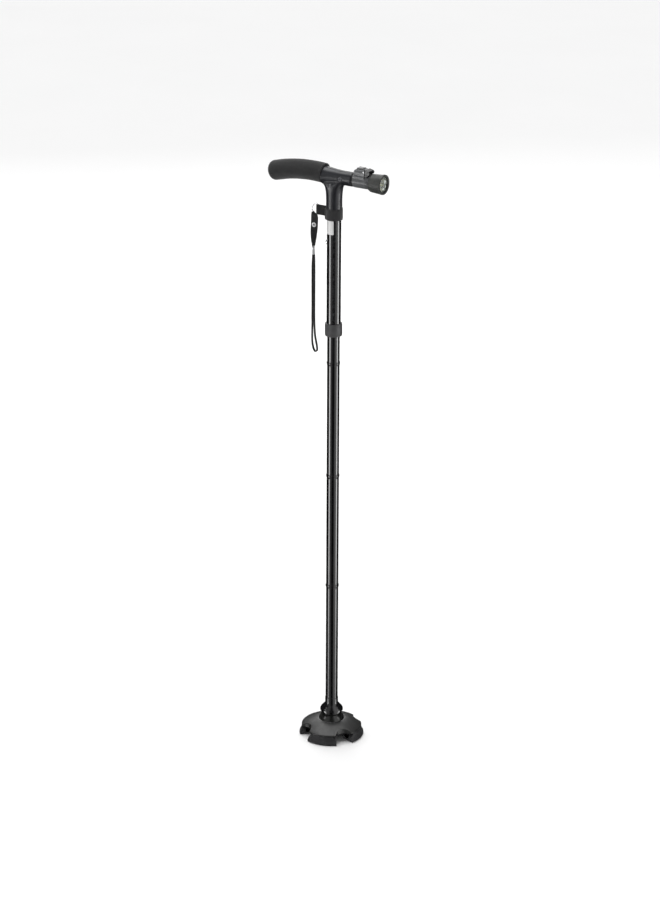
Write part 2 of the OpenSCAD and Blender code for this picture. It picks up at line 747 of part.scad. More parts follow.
module head_bezel() {
  rim = head_r - 0.4;
  color("#3a3b3e") turned([
    [head_x, neck_r + slip], [head_x, head_r - 2.1], [head_x + 0.6, head_r - 1.6],
    [head_front - 3.2, rim], [head_front - 2.6, head_r], [head_front - 0.5, head_r],
    [head_front, head_r - 0.6], [head_front, lens_r - 0.8], [head_front - 1.95, lens_r - 0.8],
    [head_front - 1.95, lens_r + seat], [head_x + 5.4, lens_r + seat],
    [head_x + 5.4, neck_r + slip]]);
}

module rounded_block(w, h, r) {
  translate([-w / 2, 0]) square([w, h - r]);
  translate([-w / 2 + r, h - r]) circle(r = r, $fn = 48);
  translate([w / 2 - r, h - r]) circle(r = r, $fn = 48);
  translate([-w / 2 + r, h - r - eps]) square([w - 2 * r, r + eps]);
}
module switch_housing() {
  long = block_to - block_from;
  color("#6a6b6e") difference() {
    union() {
      translate([block_from, 0, axis_z + 3]) rotate([90, 0, 90])
        linear_extrude(long) rounded_block(2 * (nose_r - 1.2), block_z - axis_z - 3, 1.2);
      intersection() {
        translate([block_from, 0, axis_z + 3]) rotate([90, 0, 90])
          linear_extrude(long) rounded_block(14.4, block_top - axis_z - 3, 4);
        slab(20) translate([block_from + long / 2, axis_z])
          rounded_block(long - 1.2, block_top - axis_z, 3);
      }
    }
    along_x(block_from - eps, block_to + eps, nose_r + 0.02);
    // pocket for the lever and its pivot
    translate([block_from + 2.6, -lever_w / 2 - 0.3, block_top - 1.6]) cube([40, lever_w + 0.6, 10]);
    translate([lever_x - 3.4, -lever_w / 2 - 0.3, lever_z - 2.4]) cube([20, lever_w + 0.6, 10]);
    // well for the switch element
    translate([block_from + 4.6, -3.2, block_top - 6.2]) cube([6.4, 6.4, 10]);
    along_y(lever_x, -12, 12, lever_z, 1 + seat);
  }
}
module switch_element() {
  color("#1a1a1a") translate([block_from + 4.8, -3, block_top - 6]) {
    cube([6, 6, 3.6]);
    translate([3, 3, 3]) cylinder(r = 1.6, h = 2.3, $fn = 32);
  }
}
module lever_pin() {
  color("#9a9ca0") along_y(lever_x, -6.8, 6.8, lever_z, 1);
}
module switch_lever() {
  z = block_top;
  x = block_to;
  color("#0c0c0d") difference() {
    union() {
      // thumb pad and arm
      slab(lever_w - 0.2) polygon([
        [x - 15, z + 0.2], [x - 15, z + 2], [x - 14, z + 2.7], [x - 4.4, z + 2.7],
        [x - 3.6, z + 1.8], [x + 1.4, z + 1.2], [x + 1.4, z - 5], [x - 2.2, z - 5],
        [x - 4, z - 3.6], [x - 4.4, z + 0.2]]);
      // ear that hangs over the front
      slab(15) polygon([
        [x + 0.7, z + 1.2], [x + 7.4, z - 0.4], [x + 8.8, z - 2.2], [x + 8.4, z - 5],
        [x + 5.6, z - 7], [x + 2.2, z - 11], [x + 0.7, z - 12.4]]);
    }
    along_y(lever_x, -12, 12, lever_z, 1 + slip);
    along_x(x - 1, x + 12, nose_r + 0.9);
    turned([[flare_x - 3, 0], [flare_x - 3, nose_r + 0.9], [flare_x - 0.5, nose_r + 0.9],
            [head_x, head_r - 1.4], [head_x + 1, 0]]);
  }
}

base_plate();
foot_1();
foot_2();
foot_3();
foot_4();
foot_screws();
pivot_liner();
pivot_buffer();
pivot_bell();
pivot_bolt();
pivot_washer();
bottom_plug();
tube_1();
tube_2();
tube_3();
inner_tube();
spigot_1();
spigot_2();
spigot_3();
shock_cord();
cord_ferrule_low();
cord_ferrule_top();
top_plug();
snap_button();
button_spring();
upper_tube();
split_bush();
lock_collar();
size_label();
handle_shell_left();
handle_shell_right();
handle_screws();
handle_pin();
foam_grip();
strap_band();
strap_tab();
d_ring();
lanyard_web();
grommet();
crimp_sleeve();
wrist_loop();
torch_barrel();
nose_seal();
battery_cell();
cell_spring();
led_board();
leds();
reflector();
lens();
lens_gasket();
head_bezel();
switch_housing();
switch_element();
lever_pin();
switch_lever();
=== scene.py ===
import math
import bpy
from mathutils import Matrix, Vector, noise


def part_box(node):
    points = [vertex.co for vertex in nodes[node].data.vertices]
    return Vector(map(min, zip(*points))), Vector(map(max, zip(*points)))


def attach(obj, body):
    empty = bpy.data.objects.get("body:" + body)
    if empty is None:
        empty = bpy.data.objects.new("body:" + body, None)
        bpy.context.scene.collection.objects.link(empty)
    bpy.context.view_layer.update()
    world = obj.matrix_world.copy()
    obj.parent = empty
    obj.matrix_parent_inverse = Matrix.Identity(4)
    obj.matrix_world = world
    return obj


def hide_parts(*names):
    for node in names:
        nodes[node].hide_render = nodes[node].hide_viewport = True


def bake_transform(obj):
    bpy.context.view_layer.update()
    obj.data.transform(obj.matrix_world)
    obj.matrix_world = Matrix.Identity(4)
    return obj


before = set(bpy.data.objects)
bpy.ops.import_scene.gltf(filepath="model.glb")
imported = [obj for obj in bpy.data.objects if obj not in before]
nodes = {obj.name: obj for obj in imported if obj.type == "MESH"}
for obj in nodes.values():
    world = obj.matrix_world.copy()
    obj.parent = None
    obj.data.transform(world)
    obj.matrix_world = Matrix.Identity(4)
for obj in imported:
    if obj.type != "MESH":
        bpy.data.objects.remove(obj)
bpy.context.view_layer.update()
mm = 0.001
print("frame loaded:", len(nodes), "nodes")


def clearPick():
    if bpy.context.object and bpy.context.object.mode != "OBJECT":
        bpy.ops.object.mode_set(mode="OBJECT")
    bpy.ops.object.select_all(action="DESELECT")


def pick(obj):
    clearPick()
    obj.select_set(True)
    bpy.context.view_layer.objects.active = obj
    return obj


def editAll(obj):
    pick(obj)
    bpy.ops.object.mode_set(mode="EDIT")
    bpy.ops.mesh.select_mode(type="VERT")
    bpy.ops.mesh.select_all(action="SELECT")


def leaveEdit():
    bpy.ops.object.mode_set(mode="OBJECT")


def applyPlace(obj):
    pick(obj)
    bpy.ops.object.transform_apply(location=True, rotation=True, scale=True)


def modify(obj, kind, **settings):
    pick(obj)
    bpy.ops.object.modifier_add(type=kind)
    modifier = obj.modifiers[-1]
    for key, value in settings.items():
        setattr(modifier, key, value)
    bpy.ops.object.modifier_apply(modifier=modifier.name)


def smooth(obj, degrees=35):
    pick(obj)
    bpy.ops.object.shade_smooth_by_angle(angle=math.radians(degrees))


def moveVertices(obj, shift):
    # shift gives a vertex's new place from its old one
    for v in obj.data.vertices:
        v.co = shift(v.co)
    obj.data.update()


def lathe(name, profile, centre, axis, steps=96):
    # profile points in the shared frame, drawn from a single vertex and spun a full turn
    clearPick()
    bpy.ops.mesh.primitive_plane_add(size=mm, location=profile[0])
    obj = bpy.context.object
    obj.name = name
    editAll(obj)
    bpy.ops.mesh.merge(type="CENTER")
    for a, b in zip(profile, profile[1:]):
        bpy.ops.mesh.extrude_region_move(TRANSFORM_OT_translate={"value": Vector(b) - Vector(a)})
    leaveEdit()
    applyPlace(obj)
    editAll(obj)
    bpy.ops.mesh.spin(steps=steps, angle=2 * math.pi, center=centre, axis=axis)
    bpy.ops.mesh.select_all(action="SELECT")
    bpy.ops.mesh.remove_doubles(threshold=0.004 * mm)
    bpy.ops.mesh.normals_make_consistent(inside=False)
    leaveEdit()
    return obj


def upLathe(name, profile, steps=96):
    # profile as (radius, height) in millimetres about the shaft
    points = [(r * mm, 0, z * mm) for r, z in profile]
    return lathe(name, points, (0, 0, 0), (0, 0, 1), steps)


def torchLathe(name, profile, steps=96):
    # profile as (x, radius) in millimetres about the torch's axis
    points = [(x * mm, 0, torchAxis + r * mm) for x, r in profile]
    return lathe(name, points, (0, 0, torchAxis), (1, 0, 0), steps)


def cadCopy(node, name):
    # a merged copy of a CAD node's mesh, as an object of its own
    obj = bpy.data.objects.new(name, nodes[node].data.copy())
    bpy.context.scene.collection.objects.link(obj)
    obj.data.materials.clear()
    editAll(obj)
    bpy.ops.mesh.remove_doubles(threshold=0.002 * mm)
    leaveEdit()
    return obj


def softCopy(node, name, edge, angle=32, segments=3):
    # the same shape with its edges rounded off
    obj = cadCopy(node, name)
    editAll(obj)
    bpy.ops.mesh.dissolve_limited(angle_limit=math.radians(1.0))
    leaveEdit()
    modify(obj, "BEVEL", width=edge, segments=segments, limit_method="ANGLE",
           angle_limit=math.radians(angle), use_clamp_overlap=True)
    smooth(obj, 40)
    modify(obj, "WEIGHTED_NORMAL", weight=60, keep_sharp=True)
    return obj


def finishPiece(obj, body, material, replaced=()):
    obj.data.materials.clear()
    obj.data.materials.append(material)
    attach(obj, body)
    if replaced:
        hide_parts(*replaced)
    return obj


def objectFrom(name, verts, faces):
    mesh = bpy.data.meshes.new(name)
    mesh.from_pydata(verts, [], faces)
    obj = bpy.data.objects.new(name, mesh)
    bpy.context.scene.collection.objects.link(obj)
    return obj


def softPiece(node, name, edge, angle, segments, body, material):
    obj = softCopy(node, name, edge, angle, segments)
    return finishPiece(obj, body, material, [node])


def bandMesh(name, rings):
    # a skin over rings of points, with a UV map in metres for the weave
    count = len(rings[0])
    verts = [tuple(p) for ring in rings for p in ring]
    faces = []
    rows = len(rings) - 1
    for i in range(rows):
        for k in range(count):
            a, b = i * count, (i + 1) * count
            faces.append((a + k, a + (k + 1) % count, b + (k + 1) % count, b + k))
    faces.append(tuple(reversed(range(count))))
    faces.append(tuple(rows * count + k for k in range(count)))
    obj = objectFrom(name, verts, faces)
    mesh = obj.data
    along, around = [0.0], [0.0]
    for i in range(1, len(rings) + 1):
        along.append(along[-1] + (Vector(rings[i % len(rings)][0]) - Vector(rings[i - 1][0])).length)
    for k in range(1, count + 1):
        around.append(around[-1] + (Vector(rings[0][k % count]) - Vector(rings[0][k - 1])).length)
    layer = mesh.uv_layers.new(name="weave")
    for f, face in enumerate(mesh.polygons):
        for corner, loop in enumerate(face.loop_indices):
            i, k = divmod(f, count)
            if f >= rows * count:
                layer.data[loop].uv = (0, around[corner % count])
            else:
                i += 1 if corner in (2, 3) else 0
                k += 1 if corner in (1, 2) else 0
                layer.data[loop].uv = (along[i], around[k])
    editAll(obj)
    bpy.ops.mesh.normals_make_consistent(inside=False)
    leaveEdit()
    return obj


def strapRing(centre, wide, thick, width, depth, sides=12):
    # a flat strap's cross-section with rounded edges
    ring = []
    for k in range(sides):
        a = 2 * math.pi * (k + 0.5) / sides
        c, s = math.cos(a), math.sin(a)
        u = math.copysign(abs(c) ** 0.35, c) * width / 2
        v = math.copysign(abs(s) ** 0.6, s) * depth / 2
        ring.append(centre + wide * u + thick * v)
    return ring


def addNode(material, kind, **values):
    # attributes are set on the node, anything else on the socket of that name
    node = material.node_tree.nodes.new("ShaderNode" + kind)
    for key, value in values.items():
        if hasattr(node, key):
            setattr(node, key, value)
        else:
            node.inputs[key.replace("_", " ")].default_value = value
    return node


def link(material, source, output, target, socket):
    material.node_tree.links.new(source.outputs[output], target.inputs[socket])


def newMaterial(name, colour, roughness, **sockets):
    material = bpy.data.materials.new(name)
    material.use_nodes = True
    shader = material.node_tree.nodes["Principled BSDF"]
    shader.inputs["Base Color"].default_value = (*colour, 1)
    shader.inputs["Roughness"].default_value = roughness
    for key, value in sockets.items():
        shader.inputs[key.replace("_", " ")].default_value = value
    material.diffuse_color = (*colour, 1)
    return material


def shaderOf(material):
    return material.node_tree.nodes["Principled BSDF"]


def objectSpace(material, stretch=(1, 1, 1)):
    place = addNode(material, "TexCoord")
    mapping = addNode(material, "Mapping")
    mapping.inputs["Scale"].default_value = stretch
    link(material, place, "Object", mapping, "Vector")
    return mapping


def noiseOf(material, scale, detail=4, rough=0.55, stretch=(1, 1, 1)):
    space = objectSpace(material, stretch)
    cloud = addNode(material, "TexNoise", Scale=scale, Detail=detail, Roughness=rough)
    link(material, space, "Vector", cloud, "Vector")
    return cloud


def rampOf(material, source, output, stops):
    ramp = addNode(material, "ValToRGB")
    ramp.color_ramp.elements.remove(ramp.color_ramp.elements[1])
    for i, (place, value) in enumerate(stops):
        element = ramp.color_ramp.elements[0] if i == 0 else ramp.color_ramp.elements.new(place)
        element.position = place
        colour = value if isinstance(value, tuple) else (value, value, value)
        element.color = (*colour, 1)
    link(material, source, output, ramp, "Fac")
    return ramp


def mottle(material, colours, scale, detail=5, low=0.35, high=0.68):
    # the colour drifts between two close shades
    cloud = noiseOf(material, scale, detail)
    ramp = rampOf(material, cloud, "Fac", [(low, colours[0]), (high, colours[1])])
    link(material, ramp, "Color", shaderOf(material), "Base Color")
    return ramp


def roughBetween(material, low, high, scale, detail=5, stretch=(1, 1, 1)):
    cloud = noiseOf(material, scale, detail, 0.6, stretch)
    ramp = rampOf(material, cloud, "Fac", [(0.32, low), (0.7, high)])
    link(material, ramp, "Color", shaderOf(material), "Roughness")
    return ramp


def bumpFrom(material, source, output, height, strength=1.0):
    shader = shaderOf(material)
    bump = addNode(material, "Bump", Strength=strength, Distance=height)
    if shader.inputs["Normal"].is_linked:  # stack on the bump that is there
        earlier = shader.inputs["Normal"].links[0].from_node
        link(material, earlier, "Normal", bump, "Normal")
    link(material, source, output, bump, "Height")
    link(material, bump, "Normal", shader, "Normal")
    return bump


def edgeWear(material, colour, amount=0.5, scale=300):
    # rubbed edges: the mesh's pointiness, broken up by noise
    shape = addNode(material, "NewGeometry")
    worn = rampOf(material, shape, "Pointiness", [(0.53, 0.0), (0.6, 1.0)])
    cloud = noiseOf(material, scale, 6, 0.7)
    broken = rampOf(material, cloud, "Fac", [(0.42, 0.0), (0.6, amount)])
    both = addNode(material, "Math", operation="MULTIPLY")
    link(material, worn, "Color", both, 0)
    link(material, broken, "Color", both, 1)
    mix = addNode(material, "Mix", data_type="RGBA")
    shader = shaderOf(material)
    if shader.inputs["Base Color"].is_linked:
        old = shader.inputs["Base Color"].links[0]
        link(material, old.from_node, old.from_socket.name, mix, 6)
    else:
        mix.inputs[6].default_value = shader.inputs["Base Color"].default_value
    mix.inputs[7].default_value = (*colour, 1)
    link(material, both, "Value", mix, "Factor")
    material.node_tree.links.new(mix.outputs[2], shader.inputs["Base Color"])


def weaveHeight(material, pitch, ribs=1.0):
    # plain weave over the piece's own UV map, which is in metres
    place = addNode(material, "UVMap", uv_map="weave")
    mapping = addNode(material, "Mapping")
    mapping.inputs["Scale"].default_value = (1 / pitch, ribs / pitch, 1)
    link(material, place, "UV", mapping, "Vector")
    check = addNode(material, "TexChecker", Scale=1.0)
    link(material, mapping, "Vector", check, "Vector")
    split = addNode(material, "SeparateXYZ")
    link(material, mapping, "Vector", split, "Vector")
    waves = []
    for axis in ("X", "Y"):
        turn = addNode(material, "Math", operation="MULTIPLY")
        turn.inputs[1].default_value = math.pi
        link(material, split, axis, turn, 0)
        wave = addNode(material, "Math", operation="SINE")
        link(material, turn, "Value", wave, 0)
        size = addNode(material, "Math", operation="ABSOLUTE")
        link(material, wave, "Value", size, 0)
        waves.append(size)
    mix = addNode(material, "Mix", data_type="FLOAT")
    link(material, check, "Fac", mix, "Factor")
    link(material, waves[0], "Value", mix, "A")
    link(material, waves[1], "Value", mix, "B")
    return mix


def makeEnamel():
    # stove-enamelled tube: deep gloss, drawn lines under the paint, a little dust
    m = newMaterial("tubeEnamel", (0.004, 0.004, 0.005), 0.14, Coat_Weight=0.4, Coat_Roughness=0.06)
    mottle(m, ((0.003, 0.003, 0.0035), (0.006, 0.006, 0.0068)), 40)
    roughBetween(m, 0.12, 0.18, 160, 6, (1, 1, 0.15))
    peel = noiseOf(m, 900, 2)
    bumpFrom(m, peel, "Fac", 0.002 * mm, 0.4)
    drawn = noiseOf(m, 1400, 2, 0.5, (1, 1, 0.02))
    bumpFrom(m, drawn, "Fac", 0.002 * mm, 0.4)
    edgeWear(m, (0.07, 0.07, 0.075), 0.5)
    return m


def makeShell():
    # handle's moulded body, blue-black with a soft polish
    m = newMaterial("handleShell", (0.012, 0.013, 0.018), 0.36, Coat_Weight=0.15, Coat_Roughness=0.25)
    mottle(m, ((0.01, 0.0105, 0.015), (0.016, 0.017, 0.023)), 60)
    roughBetween(m, 0.32, 0.46, 220, 6)
    fine = noiseOf(m, 2600, 3)
    bumpFrom(m, fine, "Fac", 0.012 * mm, 0.5)
    edgeWear(m, (0.06, 0.06, 0.07), 0.4)
    return m


def makePlate():
    # satin nylon, with the ball in its middle polished by the joint
    m = newMaterial("plateNylon", (0.03, 0.031, 0.031), 0.42)
    mottle(m, ((0.016, 0.0165, 0.016), (0.024, 0.0245, 0.0235)), 55)
    rough = roughBetween(m, 0.36, 0.52, 260, 6)
    flat = addNode(m, "VectorMath", operation="LENGTH")
    link(m, objectSpace(m, (1, 1, 0)), "Vector", flat, 0)
    polished = addNode(m, "MapRange")
    for key, value in (("From Min", 0.0208), ("From Max", 0.0216), ("To Min", 0.36), ("To Max", 1.0)):
        polished.inputs[key].default_value = value
    link(m, flat, "Value", polished, "Value")
    both = addNode(m, "Math", operation="MULTIPLY")
    link(m, rough, "Color", both, 0)
    link(m, polished, "Result", both, 1)
    link(m, both, "Value", shaderOf(m), "Roughness")
    grain = addNode(m, "TexVoronoi", Scale=1500.0)
    link(m, objectSpace(m), "Vector", grain, "Vector")
    bumpFrom(m, grain, "Distance", 0.03 * mm, 0.5)
    edgeWear(m, (0.11, 0.11, 0.11), 0.6, 180)
    return m


def makeBell():
    m = newMaterial("bellGloss", (0.007, 0.007, 0.008), 0.16, Coat_Weight=0.4, Coat_Roughness=0.06)
    mottle(m, ((0.006, 0.006, 0.007), (0.011, 0.011, 0.012)), 70)
    roughBetween(m, 0.13, 0.24, 240, 6)
    edgeWear(m, (0.06, 0.06, 0.06), 0.4)
    return m


def makeRubber(name, colour, dusty):
    m = newMaterial(name, colour, 0.62)
    lighter = tuple(1.8 * c for c in colour)
    mottle(m, (colour, lighter), 120, 6)
    roughBetween(m, 0.52, 0.75, 300)
    grain = noiseOf(m, 2200, 4, 0.65)
    bumpFrom(m, grain, "Fac", 0.05 * mm, 0.6)
    if dusty:
        edgeWear(m, (0.12, 0.12, 0.115), 0.7, 150)
    return m


def makeFoam():
    # closed-cell foam: open pores cut by the grinding of the surface
    m = newMaterial("gripFoam", (0.04, 0.04, 0.041), 0.92, Sheen_Weight=0.22, Sheen_Roughness=0.5)
    shader = shaderOf(m)
    pores = addNode(m, "TexVoronoi", Scale=900.0, Randomness=1.0)
    link(m, objectSpace(m), "Vector", pores, "Vector")
    speck = noiseOf(m, 1300, 5, 0.7)
    shade = rampOf(m, speck, "Fac", [(0.34, (0.012, 0.012, 0.0125)), (0.56, (0.028, 0.028, 0.0285)),
                                     (0.72, (0.055, 0.055, 0.056))])
    patch = noiseOf(m, 45, 3)
    drift = rampOf(m, patch, "Fac", [(0.3, 0.8), (0.7, 1.15)])
    mix = addNode(m, "Mix", data_type="RGBA", blend_type="MULTIPLY")
    mix.inputs["Factor"].default_value = 1.0
    link(m, shade, "Color", mix, 6)
    link(m, drift, "Color", mix, 7)
    m.node_tree.links.new(mix.outputs[2], shader.inputs["Base Color"])
    bumpFrom(m, pores, "Distance", 0.22 * mm, 0.8)
    bumpFrom(m, speck, "Fac", 0.12 * mm, 0.7)
    return m


def makeWebbing(name, colour, pitch, depth):
    m = newMaterial(name, colour, 0.85, Sheen_Weight=0.2, Sheen_Roughness=0.4)
    height = weaveHeight(m, pitch)
    # painted shade in the weave's hollows and painted highlight on the thread tops: the colour follows the
    # weave height, darker where it is low and lighter where it is high
    weaveHollowShade = tuple(0.45 * c for c in colour)
    light = tuple(1.6 * c for c in colour)
    ramp = rampOf(m, height, 0, [(0.0, weaveHollowShade), (0.6, colour), (1.0, light)])
    link(m, ramp, "Color", shaderOf(m), "Base Color")
    bumpFrom(m, height, 0, depth, 0.9)
    fuzz = noiseOf(m, 3500, 3, 0.7)
    bumpFrom(m, fuzz, "Fac", 0.05 * mm, 0.5)
    return m


def makeLoopPile():
    # the band's soft side: short matted loops
    m = newMaterial("loopPile", (0.02, 0.02, 0.021), 0.95, Sheen_Weight=0.25, Sheen_Roughness=0.6)
    tuft = addNode(m, "TexVoronoi", Scale=1100.0)
    link(m, objectSpace(m), "Vector", tuft, "Vector")
    shade = rampOf(m, tuft, "Distance", [(0.0, (0.034, 0.034, 0.036)), (0.7, (0.01, 0.01, 0.011))])
    link(m, shade, "Color", shaderOf(m), "Base Color")
    hair = noiseOf(m, 4000, 4, 0.75, (1, 1, 2))
    bumpFrom(m, tuft, "Distance", 0.15 * mm, 0.7)
    bumpFrom(m, hair, "Fac", 0.08 * mm, 0.6)
    return m


def makeMoulded(name, colour, roughness, grain, wear=0.4):
    # plain moulded plastic with a fine spark-eroded grain
    m = newMaterial(name, colour, roughness)
    mottle(m, (tuple(0.85 * c for c in colour), tuple(1.2 * c for c in colour)), 90)
    roughBetween(m, roughness - 0.06, roughness + 0.1, 260, 6)
    cells = addNode(m, "TexVoronoi", Scale=1800.0)
    link(m, objectSpace(m), "Vector", cells, "Vector")
    bumpFrom(m, cells, "Distance", grain, 0.5)
    if wear:
        edgeWear(m, tuple(min(1, 2.6 * c + 0.02) for c in colour), wear)
    return m


def makeMetal(name, colour, roughness, lines=0.0, spread=0.08):
    m = newMaterial(name, colour, roughness, Metallic=1.0)
    mottle(m, (tuple(0.9 * c for c in colour), colour), 200)
    roughBetween(m, roughness, roughness + spread, 700, 5)
    if lines:
        brushed = noiseOf(m, 2500, 2, 0.5, (1, 1, 0.03))
        bumpFrom(m, brushed, "Fac", lines, 0.6)
    return m


def makeLabelFilm():
    m = newMaterial("labelFilm", (0.86, 0.86, 0.85), 0.38, Coat_Weight=0.15)
    mottle(m, ((0.84, 0.84, 0.83), (0.9, 0.9, 0.9)), 60)
    fibre = noiseOf(m, 1600, 4)
    bumpFrom(m, fibre, "Fac", 0.01 * mm, 0.5)
    return m


def makeLens():
    m = newMaterial("lensClear", (0.97, 0.99, 0.985), 0.03, Transmission_Weight=1.0, IOR=1.49)
    roughBetween(m, 0.02, 0.06, 400)
    return m


def makeLed():
    # water-clear epoxy over a yellow phosphor cup
    m = newMaterial("ledEpoxy", (0.9, 0.91, 0.8), 0.12, Subsurface_Weight=0.2, Coat_Weight=0.6)
    shaderOf(m).inputs["Subsurface Radius"].default_value = (0.002, 0.002, 0.001)
    mottle(m, ((0.9, 0.92, 0.86), (0.86, 0.82, 0.5)), 260, 3)
    return m


def makeCord():
    m = newMaterial("elasticBraid", (0.02, 0.02, 0.022), 0.8, Sheen_Weight=0.4)
    height = weaveHeight(m, 0.6 * mm, 1.0)
    # painted shade in the braid's hollows and painted highlight on its raised strands: the colour follows
    # the braid height, darker where it is low and lighter where it is high
    ramp = rampOf(m, height, 0, [(0.0, (0.006, 0.006, 0.007)), (1.0, (0.045, 0.045, 0.05))])
    link(m, ramp, "Color", shaderOf(m), "Base Color")
    bumpFrom(m, height, 0, 0.1 * mm, 0.9)
    return m


enamel = makeEnamel()
shell = makeShell()
plateNylon = makePlate()
bellGloss = makeBell()
footRubber = makeRubber("footRubber", (0.014, 0.014, 0.015), True)
sealRubber = makeRubber("sealRubber", (0.006, 0.006, 0.006), False)
foam = makeFoam()
webbing = makeWebbing("strapWebbing", (0.016, 0.016, 0.017), 0.7 * mm, 0.12 * mm)
narrowWebbing = makeWebbing("loopWebbing", (0.014, 0.014, 0.015), 0.55 * mm, 0.1 * mm)
loopPile = makeLoopPile()
collarPlastic = makeMoulded("collarPlastic", (0.07, 0.07, 0.072), 0.5, 0.03 * mm, 0.6)
headPlastic = makeMoulded("headPlastic", (0.05, 0.052, 0.048), 0.42, 0.03 * mm, 0.5)
gunGrey = makeMoulded("gunGrey", (0.1, 0.102, 0.106), 0.34, 0.015 * mm, 0.5)
leverBlack = makeMoulded("leverBlack", (0.006, 0.006, 0.007), 0.32, 0.015 * mm, 0.3)
nylonWhite = makeMoulded("nylonWhite", (0.72, 0.72, 0.68), 0.42, 0.02 * mm, 0)
grommetWhite = makeMoulded("grommetWhite", (0.82, 0.82, 0.84), 0.25, 0.01 * mm, 0)
boardWhite = makeMoulded("boardWhite", (0.7, 0.74, 0.68), 0.4, 0.01 * mm, 0)
chrome = makeMetal("ringChrome", (0.82, 0.82, 0.84), 0.08)
alloy = makeMetal("alloySatin", (0.62, 0.62, 0.64), 0.28, 0.02 * mm)
sleeveMetal = makeMetal("sleeveMetal", (0.9, 0.9, 0.91), 0.4, 0.01 * mm)
steel = makeMetal("springSteel", (0.5, 0.5, 0.51), 0.3, 0.01 * mm)
blackSteel = makeMetal("blackSteel", (0.06, 0.06, 0.065), 0.35)
brass = makeMetal("contactBrass", (0.72, 0.55, 0.26), 0.28)
cellWrap = makeMoulded("cellWrap", (0.12, 0.13, 0.15), 0.3, 0.005 * mm, 0)
mirror = makeMetal("reflectorSilver", (0.86, 0.88, 0.85), 0.12, 0, 0.1)
lensClear = makeLens()
ledEpoxy = makeLed()
labelFilm = makeLabelFilm()
braid = makeCord()
nylonThread = makeMoulded("nylonThread", (0.07, 0.07, 0.075), 0.5, 0.02 * mm, 0)
print("materials made:", len(bpy.data.materials))

cameraSetup = {
    "place": (2.476, -4.025, 2.306),
    "turn": (68.964, -0.265, 31.755),  # degrees
    "lens": 129.65,
}


def makeCamera(setup):
    clearPick()
    bpy.ops.object.camera_add(location=setup["place"])
    camera = bpy.context.object
    camera.name = "camera"
    camera.rotation_euler = [math.radians(a) for a in setup["turn"]]
    camera.data.lens = setup["lens"]
    camera.data.clip_end = 50
    bpy.context.scene.camera = camera


makeCamera(cameraSetup)

# heights that several pieces share, from the frame
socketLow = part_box("strap_band")[0].z
torchLow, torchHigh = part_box("head_bezel")
torchAxis = (torchLow.z + torchHigh.z) / 2
ringLow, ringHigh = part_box("d_ring")
ringCentre = Vector((ringHigh.x - 0.85 * mm, 0, (ringLow.z + ringHigh.z) / 2))
ringRadius = (ringHigh.z - ringLow.z) / 2 - 0.85 * mm

# the lanyard hangs from the ring: webbing first, then the wrist loop
webStrap = {
    "centre": -0.035,
    "width": 11.4 * mm,
    "thickness": 1.05 * mm,
    # x, height from the socket's underside, share of the width, gap between layers, twist in degrees
    "rows": [(-35, -2, 1.0, 1.35, 0), (-35, -5, 1.0, 1.25, 0), (-35.1, -9, 1.0, 1.2, 0),
             (-35.3, -14, 1.0, 1.2, 0), (-35.6, -18, 0.98, 1.2, 4), (-36, -24, 0.94, 1.2, 15),
             (-36.25, -28, 0.9, 1.2, 26), (-36.4, -32, 0.84, 1.2, 40), (-36.5, -36, 0.76, 1.25, 53),
             (-36.6, -40, 0.68, 1.3, 65), (-36.6, -44, 0.58, 1.4, 78), (-36.6, -48, 0.48, 1.5, 88),
             (-36.6, -51, 0.44, 1.55, 90)],
}
wristLoop = {
    "width": 5 * mm,
    "thickness": 1.2 * mm,
    # x and height from the socket's underside, down one side and up the other
    "points": [(-37.5, -62.4), (-38, -70), (-38.5, -80), (-38.6, -95), (-38.6, -110),
               (-38.5, -125), (-38.5, -140), (-38.5, -155), (-38.5, -170), (-38.6, -182),
               (-38.8, -192), (-38.6, -202), (-37.6, -210), (-35.6, -216), (-33, -219),
               (-30.6, -218.6), (-29.6, -215.6), (-30, -210), (-31.5, -203), (-33.2, -195),
               (-34.3, -184), (-34.8, -172), (-35, -157), (-35, -142), (-35, -127),
               (-35, -112), (-35, -97), (-35, -82), (-35.3, -71), (-35.7, -62.4)],
}


def smoothPath(points, parts):
    # Catmull-Rom through the given points
    out = []
    for i in range(len(points) - 1):
        p0, p1 = points[max(i - 1, 0)], points[i]
        p2, p3 = points[i + 1], points[min(i + 2, len(points) - 1)]
        for k in range(parts):
            t = k / parts
            out.append(0.5 * (2 * p1 + (p2 - p0) * t + (2 * p0 - 5 * p1 + 4 * p2 - p3) * t * t
                              + (3 * p1 - p0 - 3 * p2 + p3) * t ** 3))
    out.append(points[-1])
    return out


def makeWristLoop(shape):
    centres = [Vector((x * mm, 0, socketLow + z * mm)) for x, z in shape["points"]]
    path = smoothPath(centres, 5)
    rings = []
    across = Vector((0, 1, 0))
    for i, p in enumerate(path):
        along = (path[min(i + 1, len(path) - 1)] - path[max(i - 1, 0)]).normalized()
        rings.append(strapRing(p, across, along.cross(across), shape["width"], shape["thickness"]))
    obj = bandMesh("wristLoop", rings)
    smooth(obj, 50)
    finishPiece(obj, "lanyard", narrowWebbing, ["wrist_loop"])
    return obj


